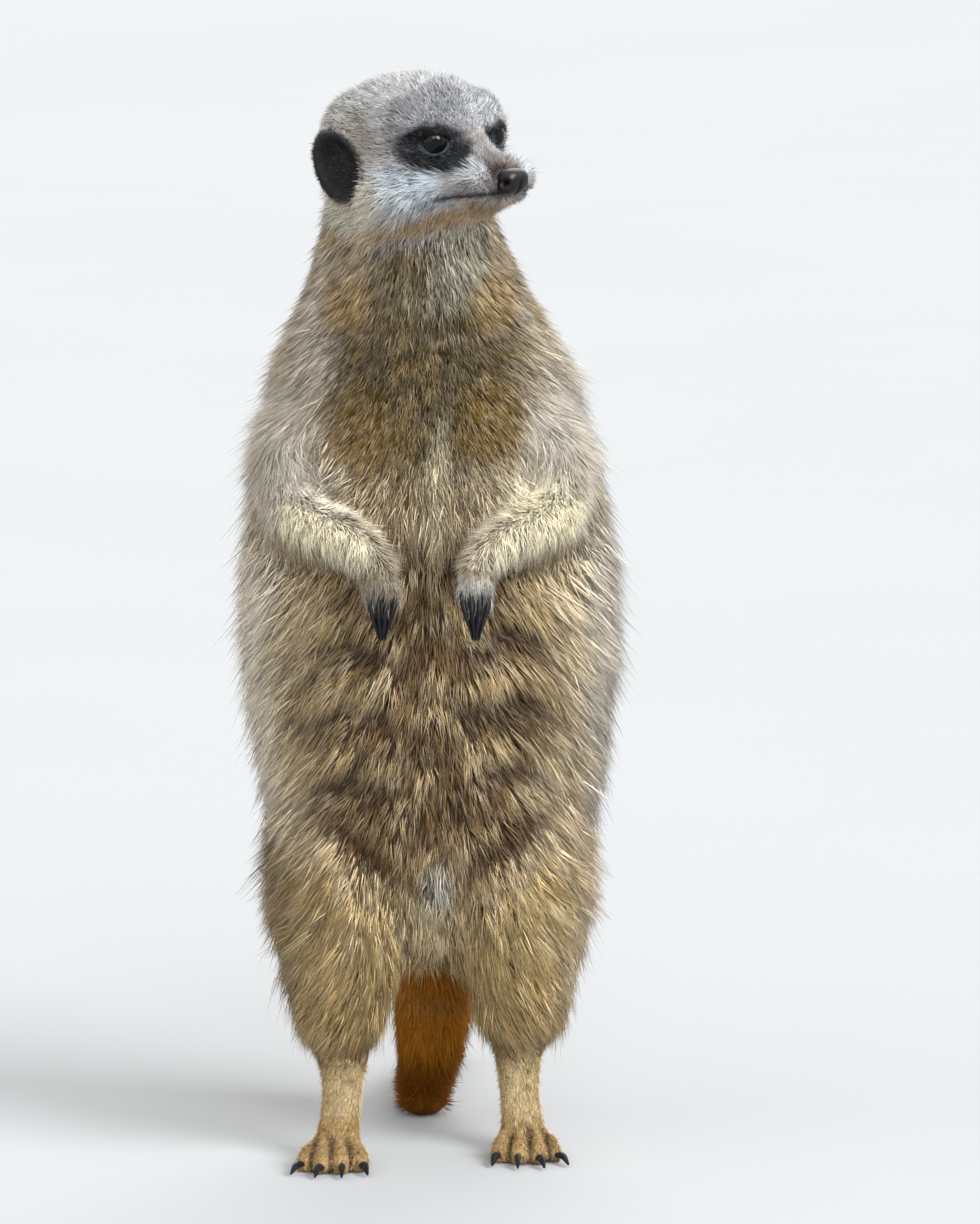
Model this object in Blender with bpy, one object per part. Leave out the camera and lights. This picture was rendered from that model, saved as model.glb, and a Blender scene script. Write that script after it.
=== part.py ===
"""A meerkat standing upright on its hind legs, life-size, as a still museum model.

The solids give the animal's outline out to the tips of its coat. It faces -Y with its head
turned to its own left (+X), and stands on its two hind feet and its tail, on the plane Z = 0.
Sizes below are in millimetres; meshes are made in metres.
"""

import math
from collections import namedtuple

import bmesh
import bpy
from mathutils import Matrix, Vector

MM = 0.001
GAP = 0.3  # clearance between neighbouring solids
FRONT = Vector((0, -1, 0))

# ---------------------------------------------------------------- driving sizes

HEAD_CENTRE = Vector((-6, -8, 287))  # middle of the skull
HEAD_TURN = math.radians(45)  # the gaze, from straight ahead towards the animal's left
EYE_RADIUS = 5.0
EYE_CENTRE = Vector((20.2, 10.5, 6.2))  # forward, to the left, up, from the middle of the skull
NOSE_CENTRE = Vector((40.6, 0, -4.2))
NOSE_RADII = (3.6, 4.2, 3.5)
EAR_CENTRE = Vector((-5.4, 22.4, -2.3))
EAR_RADII = (8.7, 3.2, 10.6)
EAR_FLARE = math.radians(6)  # the rear edge stands out from the head

STRIDE = 6.0  # the right foot is this far ahead of the middle of the stance, the left one behind
TOE_COUNT = 4
SIDES = {"left": 1, "right": -1}


# How a fused solid is made: its grain, its rounds of smoothing and its number of triangles.
Grain = namedtuple("Grain", "voxel smoothing triangles")
BODY_GRAIN = Grain(2.2, 5, 1440)
HEAD_GRAIN = Grain(1.3, 14, 760)
FOOT_GRAIN = Grain(0.9, 3, 290)
PAW_GRAIN = Grain(0.8, 3, 160)

Station = namedtuple("Station", "x y z wide front back")


def at(x, y, z, wide, front, back=None):
    """A station of a loft: its centre, half its width, and its reach to the front and back."""
    return Station(x, y, z, wide, front, front if back is None else back)


# The trunk and neck, from the seat up to the nape, which ends inside the head.
TRUNK = [
    at(0, 8, 62, 16, 14, 18),
    at(1, 8, 80, 34, 30, 33),
    at(1, 4, 104, 46, 38, 38),
    at(0, 2, 130, 50.5, 40, 38.5),
    at(0, 1, 156, 53, 40, 37),
    at(-1, 1, 188, 50.5, 37, 34),
    at(-2, 1, 212, 46.5, 34, 31),
    at(-3.5, 0, 230, 41.5, 31, 28),
    at(-4.2, -1, 243, 36, 28, 26),
    at(-5.2, -3, 257, 30, 25.5, 23),
    at(-5.8, -4, 274, 25, 22, 20),
]
NECK_CUT = Vector((-4, 0, 240))  # a level cut between the neck and the trunk

# A left hind leg, from the hip down to the root of the toes. The right one is its mirror image.
HIND_LEG = [
    at(23, 5, 126, 20, 26),
    at(25, 2, 104, 20.5, 32),
    at(25.2, -2, 82, 20.8, 29),
    at(25, 1, 62, 19.5, 24),
    at(25.5, 5, 46, 15.8, 17.5),
    at(25.5, 9, 34, 10.5, 12),
    at(25, 7, 25, 7.2, 7.8),
    at(25.5, 1, 15, 6.2, 6.4),
    at(26.5, -7, 6, 7.0, 5.4),
]
# The outline, in X and Z, of the room that a left hind leg takes from the body.
LEG_ROOM = [(4, -20), (4, 64), (80, 150), (80, -20)]
KNEE = Vector((0, -8, 76))
KNEE_SLOPE = Vector((0, 0.5, -1))  # the cut is lower at the front, where the knee is
HOCK_HEIGHT = 28
TOE_ROOT = Vector((26.5, -6, 3.3))
TOE_LENGTH = 16.5
TOE_SPLAY = math.radians(10)
TOE_SPACING = 3.3
TOE_HALF_WIDTH = 2.7
HINDCLAW_LENGTH = 7.2
HINDCLAW_THICK = 1.25

# A left foreleg, from the shoulder by the elbow to the wrist.
FORELEG = [
    at(27, -3, 221, 9, 12),
    at(35, -10, 210, 12.5, 14),
    at(37, -20, 193, 12, 12.5),
    at(33, -31, 187, 10.5, 10.5),
    at(24, -40, 184.5, 9, 9.2),
    at(15.5, -45.5, 180, 7.4, 7.6),
    at(13, -47, 172, 5.8, 5.6),
]
SHOULDER_LEAN = -3.5  # how far the shoulders lean to the animal's right of the wrists
WRIST_HEIGHT = 177
FINGER_ROOT = Vector((13, -47.5, 172.5))
FINGER_LENGTH = 6
FINGER_SPACING = 2.6
FINGER_HALF_WIDTH = 2.0
FORECLAW_LENGTH = 10.5
FORECLAW_THICK = 1.5

# The tail, from the rump down to the ground and back along it.
TAIL = [
    at(0, 26, 92, 15, 14),
    at(0.5, 35, 68, 13, 12.5),
    at(0.5, 41, 42, 12.3, 11.5),
    at(-1, 45, 19, 11.6, 10.2),
    at(-2.5, 56, 7.8, 9.8, 9),
    at(-2.5, 77, 6, 8.0, 7.6),
    at(0, 99, 5, 6.6, 6.2),
    at(5, 120, 4.2, 5.0, 4.8),
]
TAIL_CUTS = ((45, 44), (82, 6))  # (y, z) of the cuts between its three lengths

COAT = ((0.42, 0.33, 0.22), 0.9)
PALE_COAT = ((0.62, 0.52, 0.36), 0.9)
HEAD_COAT = ((0.50, 0.47, 0.42), 0.85)
RUST_COAT = ((0.36, 0.20, 0.08), 0.9)
DARK_COAT = ((0.03, 0.027, 0.025), 0.8)
NOSE_SKIN = ((0.035, 0.025, 0.025), 0.35)
HORN = ((0.02, 0.022, 0.028), 0.35)
EYE = ((0.012, 0.008, 0.006), 0.05)


# ---------------------------------------------------------------- helpers


def clear_scene():
    for thing in list(bpy.data.objects):
        bpy.data.objects.remove(thing)


def finish_of(name, look):
    """A plain material of this colour and roughness, made once."""
    material = bpy.data.materials.get(name)
    if material is None:
        colour, roughness = look
        material = bpy.data.materials.new(name)
        material.use_nodes = True
        shader = material.node_tree.nodes["Principled BSDF"]
        shader.inputs["Base Color"].default_value = (*colour, 1)
        shader.inputs["Roughness"].default_value = roughness
        material.diffuse_color = (*colour, 1)
    return material


def curve_value(before, low, high, after, share):
    """The value of a Catmull-Rom curve at this share of the way from low to high."""
    linear = (high - before) * share
    square = (2 * before - 5 * low + 4 * high - after) * share**2
    cube = (3 * low - before - 3 * high + after) * share**3
    return low + (linear + square + cube) / 2


def smooth_rows(stations, count):
    """This many stations, read at even steps from a smooth curve through the given ones."""
    padded = [stations[0], *stations, stations[-1]]
    rows = []
    for index in range(count):
        place = index / (count - 1) * (len(stations) - 1)
        first = min(int(place), len(stations) - 2)
        around = zip(*padded[first : first + 4])
        rows.append(Station(*(curve_value(*values, place - first) for values in around)))
    return rows


def ring_points(row, across, ahead, sides, scale=1.0, shift=Vector()):
    """One ring of a loft: an oval whose front and back halves may differ."""
    centre = Vector((row.x, row.y, row.z)) + shift
    points = []
    for index in range(sides):
        angle = 2 * math.pi * index / sides
        reach = row.front if math.cos(angle) > 0 else row.back
        points.append(
            centre + scale * (across * row.wide * math.sin(angle) + ahead * reach * math.cos(angle))
        )
    return points


def loft(stations, rings, sides, facing=FRONT, domes=(0.6, 0.6), steps=2):
    """A closed tube through the stations, with domed ends. facing is where each ring's front is."""
    rows = smooth_rows(stations, rings)
    centres = [Vector((row.x, row.y, row.z)) for row in rows]
    ahead = facing.copy()
    loops = []
    for index, row in enumerate(rows):
        tangent = centres[min(index + 1, rings - 1)] - centres[max(index - 1, 0)]
        tangent.normalize()
        ahead = (ahead - ahead.dot(tangent) * tangent).normalized()
        across = tangent.cross(ahead)
        loops.append(ring_points(row, across, ahead, sides))
        if index in (0, rings - 1):
            outward = -tangent if index == 0 else tangent
            height = domes[0 if index == 0 else 1] * (row.wide + row.front) / 2
            dome = []
            for step in range(1, steps + 1):
                angle = math.pi / 2 * step / (steps + 1)
                rise = outward * height * math.sin(angle)
                dome.append(ring_points(row, across, ahead, sides, math.cos(angle), rise))
            dome.append(centres[index] + outward * height)
            loops = [*reversed(dome), *loops] if index == 0 else [*loops, *dome]
    return mesh_of_loops(loops)


def mesh_of_loops(loops):
    """A bmesh from a pole, rings of equal size and a second pole, in metres."""
    bm = bmesh.new()
    first = bm.verts.new(loops[0] * MM)
    last = bm.verts.new(loops[-1] * MM)
    rings = [[bm.verts.new(point * MM) for point in ring] for ring in loops[1:-1]]
    for low, high in zip(rings, rings[1:]):
        for index in range(len(low)):
            after = (index + 1) % len(low)
            bm.faces.new((low[index], low[after], high[after], high[index]))
    for pole, ring in ((first, rings[0]), (last, rings[-1])):
        for index in range(len(ring)):
            bm.faces.new((pole, ring[index], ring[(index + 1) % len(ring)]))
    bmesh.ops.recalc_face_normals(bm, faces=bm.faces)
    return bm


def ball(centre, radii, segments=24, turn=Matrix.Identity(4)):
    """A closed oval ball, its poles along Z before the turn."""
    bm = bmesh.new()
    bmesh.ops.create_uvsphere(bm, u_segments=segments, v_segments=segments // 2, radius=1)
    place = Matrix.Translation(Vector(centre) * MM) @ turn @ Matrix.Diagonal((*(r * MM for r in radii), 1))
    bmesh.ops.transform(bm, matrix=place, verts=bm.verts)
    return bm


def add_object(name, bm, material, parent=None):
    bmesh.ops.triangulate(bm, faces=bm.faces)
    mesh = bpy.data.meshes.new(name)
    bm.to_mesh(mesh)
    bm.free()
    mesh.materials.append(material)
    mesh.shade_smooth()
    thing = bpy.data.objects.new(name, mesh)
    thing.parent = parent
    bpy.context.scene.collection.objects.link(thing)
    bpy.context.view_layer.update()
    return thing


def add_empty(name, location=(0, 0, 0), turn=0.0, parent=None):
    empty = bpy.data.objects.new(name, None)
    empty.location = Vector(location) * MM
    empty.rotation_euler = (0, 0, turn)
    empty.parent = parent
    bpy.context.scene.collection.objects.link(empty)
    return empty


def apply_modifiers(thing):
    """Makes the object's mesh what its modifiers show."""
    bpy.context.view_layer.update()
    graph = bpy.context.evaluated_depsgraph_get()
    shown = bpy.data.meshes.new_from_object(thing.evaluated_get(graph))
    thing.modifiers.clear()
    thing.data = shown


def fused(name, shapes, grain, material, parent):
    """One smooth closed solid from shapes that overlap."""
    whole = bmesh.new()
    for shape in shapes:
        held = bpy.data.meshes.new("shape")
        shape.to_mesh(held)
        shape.free()
        whole.from_mesh(held)
        bpy.data.meshes.remove(held)
    thing = add_object(name, whole, material, parent)
    remesh = thing.modifiers.new("fuse", "REMESH")
    remesh.mode = "VOXEL"
    remesh.voxel_size = grain.voxel * MM
    smooth = thing.modifiers.new("soften", "SMOOTH")
    smooth.iterations = grain.smoothing
    apply_modifiers(thing)
    thin = thing.modifiers.new("thin", "DECIMATE")
    thin.ratio = grain.triangles / (2 * len(thing.data.polygons))
    apply_modifiers(thing)
    return thing


def cut_away(thing, neighbours):
    """Cuts from a solid the room that its neighbours take, with the gap all round."""
    for neighbour in neighbours:
        cutter = neighbour.copy()
        cutter.data = neighbour.data.copy()
        cutter.hide_render = True
        cutter.display_type = "WIRE"
        bpy.context.scene.collection.objects.link(cutter)
        swell = cutter.modifiers.new("gap", "DISPLACE")
        swell.mid_level = 0
        swell.strength = GAP * MM
        boolean = thing.modifiers.new("room", "BOOLEAN")
        boolean.operation = "DIFFERENCE"
        boolean.solver = "EXACT"
        boolean.object = cutter
        apply_modifiers(thing)
        keep_largest(thing)
        bpy.data.objects.remove(cutter)


def keep_largest(thing):
    """Drops the slivers that a cut leaves apart from the main solid."""
    bm = bmesh.new()
    bm.from_mesh(thing.data)
    left, islands = set(bm.verts), []
    while left:
        island, front = set(), [left.pop()]
        while front:
            vert = front.pop()
            island.add(vert)
            for edge in vert.link_edges:
                other = edge.other_vert(vert)
                if other in left:
                    left.remove(other)
                    front.append(other)
        islands.append(island)
    islands.sort(key=len, reverse=True)
    for island in islands[1:]:
        bmesh.ops.delete(bm, geom=list(island), context="VERTS")
    bmesh.ops.triangulate(bm, faces=bm.faces)
    bm.to_mesh(thing.data)
    bm.free()


def trim(thing, point, normal):
    """Cuts off what lies on the normal's side of a plane, and closes the cut. World space, in mm."""
    inward = thing.matrix_world.inverted()
    bm = bmesh.new()
    bm.from_mesh(thing.data)
    local_point = inward @ (Vector(point) * MM)
    local_normal = inward.to_3x3() @ Vector(normal)
    geometry = [*bm.verts, *bm.edges, *bm.faces]
    bmesh.ops.bisect_plane(bm, geom=geometry, plane_co=local_point, plane_no=local_normal, clear_outer=True)
    rim = [edge for edge in bm.edges if edge.is_boundary]
    bmesh.ops.holes_fill(bm, edges=rim, sides=0)
    bmesh.ops.triangulate(bm, faces=bm.faces)
    bmesh.ops.recalc_face_normals(bm, faces=bm.faces)
    bm.to_mesh(thing.data)
    bm.free()


def part_at(thing, other_name, point, normal):
    """Parts a solid with a thin plane cut. The side that the normal points to gets the other name."""
    normal = Vector(normal).normalized()
    other = thing.copy()
    other.data = thing.data.copy()
    other.name = other_name
    bpy.context.scene.collection.objects.link(other)
    bpy.context.view_layer.update()
    trim(thing, Vector(point) - normal * GAP / 2, normal)
    trim(other, Vector(point) + normal * GAP / 2, -normal)
    return other


def prism(outline, shift=Vector()):
    """A block as deep as the animal, over an outline given in X and Z."""
    bm = bmesh.new()
    ends = []
    for y in (-200, 200):
        ends.append([bm.verts.new((Vector((x, y, z)) + shift) * MM) for x, z in outline])
        bm.faces.new(ends[-1])
    for index in range(len(outline)):
        after = (index + 1) % len(outline)
        bm.faces.new((ends[0][index], ends[0][after], ends[1][after], ends[1][index]))
    bmesh.ops.recalc_face_normals(bm, faces=bm.faces)
    return bm


def cut_with_block(thing, outline, shift, operation):
    """Cuts a solid with a prism: DIFFERENCE takes the block's room away, INTERSECT keeps it."""
    block = add_object("block", prism(outline, shift), finish_of("coat", COAT))
    block.parent = thing.parent
    boolean = thing.modifiers.new("block", "BOOLEAN")
    boolean.operation = operation
    boolean.solver = "EXACT"
    boolean.object = block
    apply_modifiers(thing)
    keep_largest(thing)
    bpy.data.objects.remove(block)


def claw(root, middle, tip, thick):
    """A narrow curved claw through three points. thick is its half depth at the root."""
    stations = [
        at(*root, thick * 0.72, thick),
        at(*middle, thick * 0.6, thick * 0.8),
        at(*tip, 0.32, 0.34),
    ]
    return loft(stations, 3, 7, domes=(0.5, 0.9), steps=1)


def mirrored(stations, sign):
    return [station._replace(x=station.x * sign) for station in stations]


# ---------------------------------------------------------------- the head


def head_shapes():
    """What the head is fused from, in the head's own frame: +X forward, +Y left, +Z up."""
    up = Vector((0, 0, 1))
    bridge = [
        at(10, 0, 6, 13, 12),
        at(25, 0, 2.5, 9, 8),
        at(33, 0, -2, 6.5, 5.5),
        at(37.5, 0, -4.5, 5, 4.2),
    ]
    muzzle = [at(12, 0, -7, 16, 11), at(24, 0, -7.5, 12, 8), at(36, 0, -7.5, 8, 6)]
    shapes = [
        ball((0, 0, 2.5), (27, 24, 21), 32),
        ball((9, 0, 5), (18, 19, 19.6), 32),
        ball((-6, 0, -8), (19, 21, 13)),
        ball((8, 0, -13), (17, 16, 9)),
        ball((24, 0, -12.5), (12.5, 8, 5.8)),
        loft(bridge, 6, 20, up),
        loft(muzzle, 5, 20, up),
    ]
    for sign in SIDES.values():
        shapes += [
            ball((11, 11 * sign, 7.2), (12.6, 12, 12)),
            ball((5, 12 * sign, -9), (17, 12.5, 12.5)),
            ball((20, 9 * sign, -6.5), (14, 8, 8)),
            ball((32.5, 7.6 * sign, -4.8), (8.8, 8, 8)),
        ]
    return shapes


def add_head(stance):
    pose = add_empty("head_pose", HEAD_CENTRE, HEAD_TURN - math.pi / 2, stance)
    coat = finish_of("head_coat", HEAD_COAT)
    head = fused("head", head_shapes(), HEAD_GRAIN, coat, pose)
    nose = add_object("nose", ball(NOSE_CENTRE, NOSE_RADII, 12), finish_of("nose_skin", NOSE_SKIN), pose)
    eyes, ears = [], []
    for side, sign in SIDES.items():
        mirror = Vector((1, sign, 1))
        eye = ball(EYE_CENTRE * mirror, [EYE_RADIUS] * 3, 14)
        eyes.append(add_object(f"eye_{side}", eye, finish_of("eye", EYE), pose))
        flare = Matrix.Rotation(EAR_FLARE * -sign, 4, "Z") @ Matrix.Rotation(math.radians(-8), 4, "Y")
        ear = ball(EAR_CENTRE * mirror, EAR_RADII, 12, flare)
        ears.append(add_object(f"ear_{side}", ear, finish_of("dark_coat", DARK_COAT), pose))
    cut_away(head, [*eyes, nose])
    for ear in ears:
        cut_away(ear, [head])
    return [head, *ears]


# ---------------------------------------------------------------- the limbs and tail


def add_foreleg(side, sign, stance):
    """A foreleg with its paw and claws. Only the foreleg itself is returned."""
    coat = finish_of("pale_coat", PALE_COAT)
    stations = mirrored(FORELEG, sign)
    low, high = stations[-1].z, stations[0].z
    leaning = [row._replace(x=row.x + SHOULDER_LEAN * (row.z - low) / (high - low)) for row in stations]
    arm = add_object(f"foreleg_{side}", loft(leaning, 10, 12, domes=(0.7, 0.5)), coat, stance)
    trim(arm, (0, 0, WRIST_HEIGHT), (0, 0, -1))
    root = FINGER_ROOT * Vector((sign, 1, 1))
    shapes = [loft(leaning[-2:], 3, 14, domes=(0.5, 0.5))]
    claws = []
    for number in range(TOE_COUNT):
        spread = (number - (TOE_COUNT - 1) / 2) * sign
        start = root + Vector((spread * FINGER_SPACING, 0.5 * abs(spread), 0))
        end = start + Vector((spread * 0.3, -0.6, -FINGER_LENGTH))
        finger = [
            at(*start, FINGER_HALF_WIDTH, 2.8),
            at(*start.lerp(end, 0.6), FINGER_HALF_WIDTH, 2.6),
            at(*end, FINGER_HALF_WIDTH * 0.85, 2.1),
        ]
        shapes.append(loft(finger, 4, 10))
        tip = end + Vector((-spread * 0.9, 1.8, -FORECLAW_LENGTH))
        bow = end.lerp(tip, 0.5) + Vector((0, -1.7, 0))
        nail = claw(end + Vector((0, -0.5, -1)), bow, tip, FORECLAW_THICK)
        claws.append(add_object(f"foreclaw_{side}_{number + 1}", nail, finish_of("horn", HORN), stance))
    paw = fused(f"forepaw_{side}", shapes, PAW_GRAIN, coat, stance)
    trim(paw, (0, 0, WRIST_HEIGHT - GAP), (0, 0, 1))
    cut_away(paw, claws)
    return arm


def stepping(stations, sign):
    """A hind leg's stations on one side, carried by its part of the stride, wholly so at the foot."""
    rows = mirrored(stations, sign)
    return [row._replace(y=row.y + STRIDE * sign * min(1, index / 5)) for index, row in enumerate(rows)]


def add_hind_foot(side, sign, stance):
    coat = finish_of("pale_coat", PALE_COAT)
    root = TOE_ROOT * Vector((sign, 1, 1)) + Vector((0, STRIDE * sign, 0))
    shapes = [loft(stepping(HIND_LEG, sign)[-4:], 7, 14, domes=(0.3, 0.6))]
    claws = []
    for number in range(TOE_COUNT):
        spread = number - (TOE_COUNT - 1) / 2
        angle = TOE_SPLAY * (spread + 0.5) * sign
        along = Vector((math.sin(angle), -math.cos(angle), 0))
        start = root + Vector((spread * TOE_SPACING * sign, 1.5 * abs(spread) - 1, 0))
        length = TOE_LENGTH * (1.0 - 0.09 * abs(spread))
        end = start + along * length - Vector((0, 0, 1.5))
        knuckle = start + along * length * 0.55 + Vector((0, 0, 0.7))
        toe = [
            at(*start, TOE_HALF_WIDTH, 4.4),
            at(*knuckle, TOE_HALF_WIDTH, 4.2),
            at(*end, TOE_HALF_WIDTH * 0.9, 3.4),
        ]
        shapes.append(loft(toe, 5, 12, Vector((0, 0, 1)), domes=(0.4, 0.8)))
        nail_root = end + along + Vector((0, 0, 0.4))
        nail_tip = end + along * HINDCLAW_LENGTH
        nail_tip.z = 1.0
        bow = nail_root.lerp(nail_tip, 0.5) + Vector((0, 0, 0.9))
        nail = claw(nail_root, bow, nail_tip, HINDCLAW_THICK)
        claws.append(add_object(f"hindclaw_{side}_{number + 1}", nail, finish_of("horn", HORN), stance))
    foot = fused(f"hindfoot_{side}", shapes, FOOT_GRAIN, coat, stance)
    trim(foot, (0, 0, HOCK_HEIGHT - GAP), (0, 0, 1))
    trim(foot, (0, 0, 0), (0, 0, -1))
    cut_away(foot, claws)


def add_hind_legs(body, stance):
    """Parts the hind legs from the body, and each at its knee. Returns the four lengths."""
    lengths = []
    for side, sign in SIDES.items():
        room = [(x * sign, z) for x, z in LEG_ROOM]
        thigh = body.copy()
        thigh.data = body.data.copy()
        thigh.name = f"thigh_{side}"
        bpy.context.scene.collection.objects.link(thigh)
        cut_with_block(thigh, room, Vector((GAP * sign, 0, -GAP)), "INTERSECT")
        trim(thigh, (0, 0, HOCK_HEIGHT), (0, 0, -1))
        shank = part_at(thigh, f"shank_{side}", KNEE, KNEE_SLOPE)
        lengths += [thigh, shank]
        add_hind_foot(side, sign, stance)
    for sign in SIDES.values():
        cut_with_block(body, [(x * sign, z) for x, z in LEG_ROOM], Vector(), "DIFFERENCE")
    return lengths


def add_tail(stance):
    rust = finish_of("rust_coat", RUST_COAT)
    base = add_object("tail_base", loft(TAIL, 16, 12, Vector((1, 0, 0)), domes=(0.5, 2.0)), rust, stance)
    trim(base, (0, 0, 0), (0, 0, -1))
    lengths = [base]
    normals = ((0, 0.35, -1), (0.1, 1, 0))
    for name, (y, z), normal in zip(("tail_middle", "tail_tip"), TAIL_CUTS, normals):
        lengths.append(part_at(lengths[-1], name, (0, y, z), normal))
    lengths[-1].data.materials.clear()
    lengths[-1].data.materials.append(finish_of("dark_coat", DARK_COAT))
    return lengths


# ---------------------------------------------------------------- the animal


def centre_on_origin(stance):
    """Moves the stance so that the box round the animal is centred over the origin."""
    bpy.context.view_layer.update()
    corners = [
        thing.matrix_world @ vert.co
        for thing in bpy.context.scene.objects
        if thing.type == "MESH"
        for vert in thing.data.vertices
    ]
    for axis in (0, 1):
        values = [corner[axis] for corner in corners]
        stance.location[axis] = -(min(values) + max(values)) / 2


def build():
    clear_scene()
    stance = add_empty("stance")
    head = add_head(stance)
    tail = add_tail(stance)
    shapes = [loft(TRUNK, 22, 36, domes=(0.6, 0.5))]
    shapes += [loft(stepping(HIND_LEG, sign), 16, 24, domes=(0.5, 0.4)) for sign in SIDES.values()]
    trunk = fused("trunk", shapes, BODY_GRAIN, finish_of("coat", COAT), stance)
    for length in add_hind_legs(trunk, stance):
        cut_away(length, tail[:1])
    neck = part_at(trunk, "neck", NECK_CUT, (0, 0, 1))
    cut_away(neck, head)
    cut_away(trunk, [add_foreleg(side, sign, stance) for side, sign in SIDES.items()] + tail[:1])
    centre_on_origin(stance)


build()
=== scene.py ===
# %% [markdown]
# A meerkat on its hind legs, life-size, as a still museum model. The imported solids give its
# outline out to the tips of the coat. This lesson puts one skin inside them, opens the lids
# over real eyes, and covers the skin with thin tufts of solid mesh that lie as the coat lies.
# The frame comes first, because every place below is measured from it.

# %% Load the frame
import math

import bpy
import numpy as np
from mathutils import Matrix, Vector
from mathutils.bvhtree import BVHTree
from mathutils.kdtree import KDTree


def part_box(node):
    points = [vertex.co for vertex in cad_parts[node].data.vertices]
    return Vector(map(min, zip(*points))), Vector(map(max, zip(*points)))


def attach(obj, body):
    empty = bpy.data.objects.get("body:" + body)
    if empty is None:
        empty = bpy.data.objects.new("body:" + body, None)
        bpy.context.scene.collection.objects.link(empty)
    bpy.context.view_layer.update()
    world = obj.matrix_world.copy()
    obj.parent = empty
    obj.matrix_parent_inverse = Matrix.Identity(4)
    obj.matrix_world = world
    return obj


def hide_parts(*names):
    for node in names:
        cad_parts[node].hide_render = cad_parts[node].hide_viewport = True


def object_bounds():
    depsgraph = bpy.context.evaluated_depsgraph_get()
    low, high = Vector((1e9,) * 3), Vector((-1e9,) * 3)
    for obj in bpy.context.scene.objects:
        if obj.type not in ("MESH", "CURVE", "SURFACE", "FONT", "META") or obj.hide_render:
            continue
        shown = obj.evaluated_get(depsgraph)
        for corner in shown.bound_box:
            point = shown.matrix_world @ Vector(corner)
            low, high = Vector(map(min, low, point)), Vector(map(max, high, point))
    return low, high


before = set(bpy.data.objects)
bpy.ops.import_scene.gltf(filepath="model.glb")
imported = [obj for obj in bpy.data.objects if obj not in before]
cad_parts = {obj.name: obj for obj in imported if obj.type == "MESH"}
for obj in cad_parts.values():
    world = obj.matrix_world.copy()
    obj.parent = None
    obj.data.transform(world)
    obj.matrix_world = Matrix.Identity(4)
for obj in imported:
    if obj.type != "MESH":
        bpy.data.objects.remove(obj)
MM = 0.001
cad_low, cad_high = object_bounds()
scene = bpy.context.scene
bpy.ops.object.select_all(action="DESELECT")
TALL = cad_high.z - cad_low.z
print("solids:", len(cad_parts), "height in mm:", round(TALL / MM, 1))

# %% [markdown]
# The camera stands low and far off with a long lens, as for an animal met at its own height.
# A long lens keeps the proportions of the solids, so the outline comes out true.

# %% Camera
AIM = Vector((0.017, -0.0383, cad_low.z + 0.5026 * TALL))
AWAY = 2.4
RAISED = math.radians(9)
FILM, VIEW = 36, 0.3464  # the film's width in mm, and how many metres it takes in at the animal

bpy.ops.object.camera_add(
    location=AIM + AWAY * Vector((0, -math.cos(RAISED), math.sin(RAISED))),
    rotation=(math.pi / 2 - RAISED, 0, 0),
)
camera = bpy.context.object
camera.name = "camera"
camera.data.sensor_width = FILM
camera.data.lens = FILM * AWAY / VIEW
camera.data.clip_end = 60
scene.camera = camera
print("camera at", [round(c, 3) for c in camera.location])

# %% [markdown]
# Fur reads best in broad light with one gentle side to it. A wide panel high on the right
# does most of the work, a weaker one on the left opens the shadows, and one behind lights
# the ends of the coat. The pale floor runs far out, so no edge of it shows.

# %% Studio
scene.view_settings.view_transform = "Standard"


def light_from(name, place, softness, strength, colour):
    """An even, soft light that shines from this side of the animal."""
    turn = (AIM - Vector(place)).to_track_quat("-Z", "Y").to_euler()
    bpy.ops.object.light_add(type="SUN", location=place, rotation=turn)
    light = bpy.context.object
    light.name = name
    light.data.angle = math.radians(softness)
    light.data.energy = strength
    light.data.color = colour


light_from("light_key", (2.1, -1.7, 2.0), 30, 4.3, (0.94, 0.97, 1.0))
light_from("light_fill", (-1.9, -2.0, 1.3), 80, 1.1, (1.0, 0.98, 0.95))
light_from("light_glint", (0.5, -2.2, 2.0), 30, 1.5, (0.88, 0.95, 1.0))
light_from("light_back", (0.5, 2.0, 2.0), 50, 1.5, (1.0, 0.98, 0.95))

world = bpy.data.worlds.new("studio")
scene.world = world
world.use_nodes = True
world.node_tree.nodes["Background"].inputs["Color"].default_value = (0.955, 0.975, 1.0, 1)
world.node_tree.nodes["Background"].inputs["Strength"].default_value = 0.93

# %% [markdown]
# A finish is a small network of nodes. Writing its sums as plain sums keeps it readable, so
# one class wraps a socket and turns each operator into a node, and one method makes any
# other node: its type, its settings, then the values or links of its sockets.

# %% Helpers for finishes
class Value:
    """A number, colour or vector in a finish, on which plain sums can be done."""

    def __init__(self, finish, socket):
        self.finish, self.socket = finish, socket

    def __add__(self, other):
        return self.finish.node("ShaderNodeMath", {"operation": "ADD"}, (self, other))

    def __mul__(self, other):
        return self.finish.node("ShaderNodeMath", {"operation": "MULTIPLY"}, (self, other))

    __radd__, __rmul__ = __add__, __mul__


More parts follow.
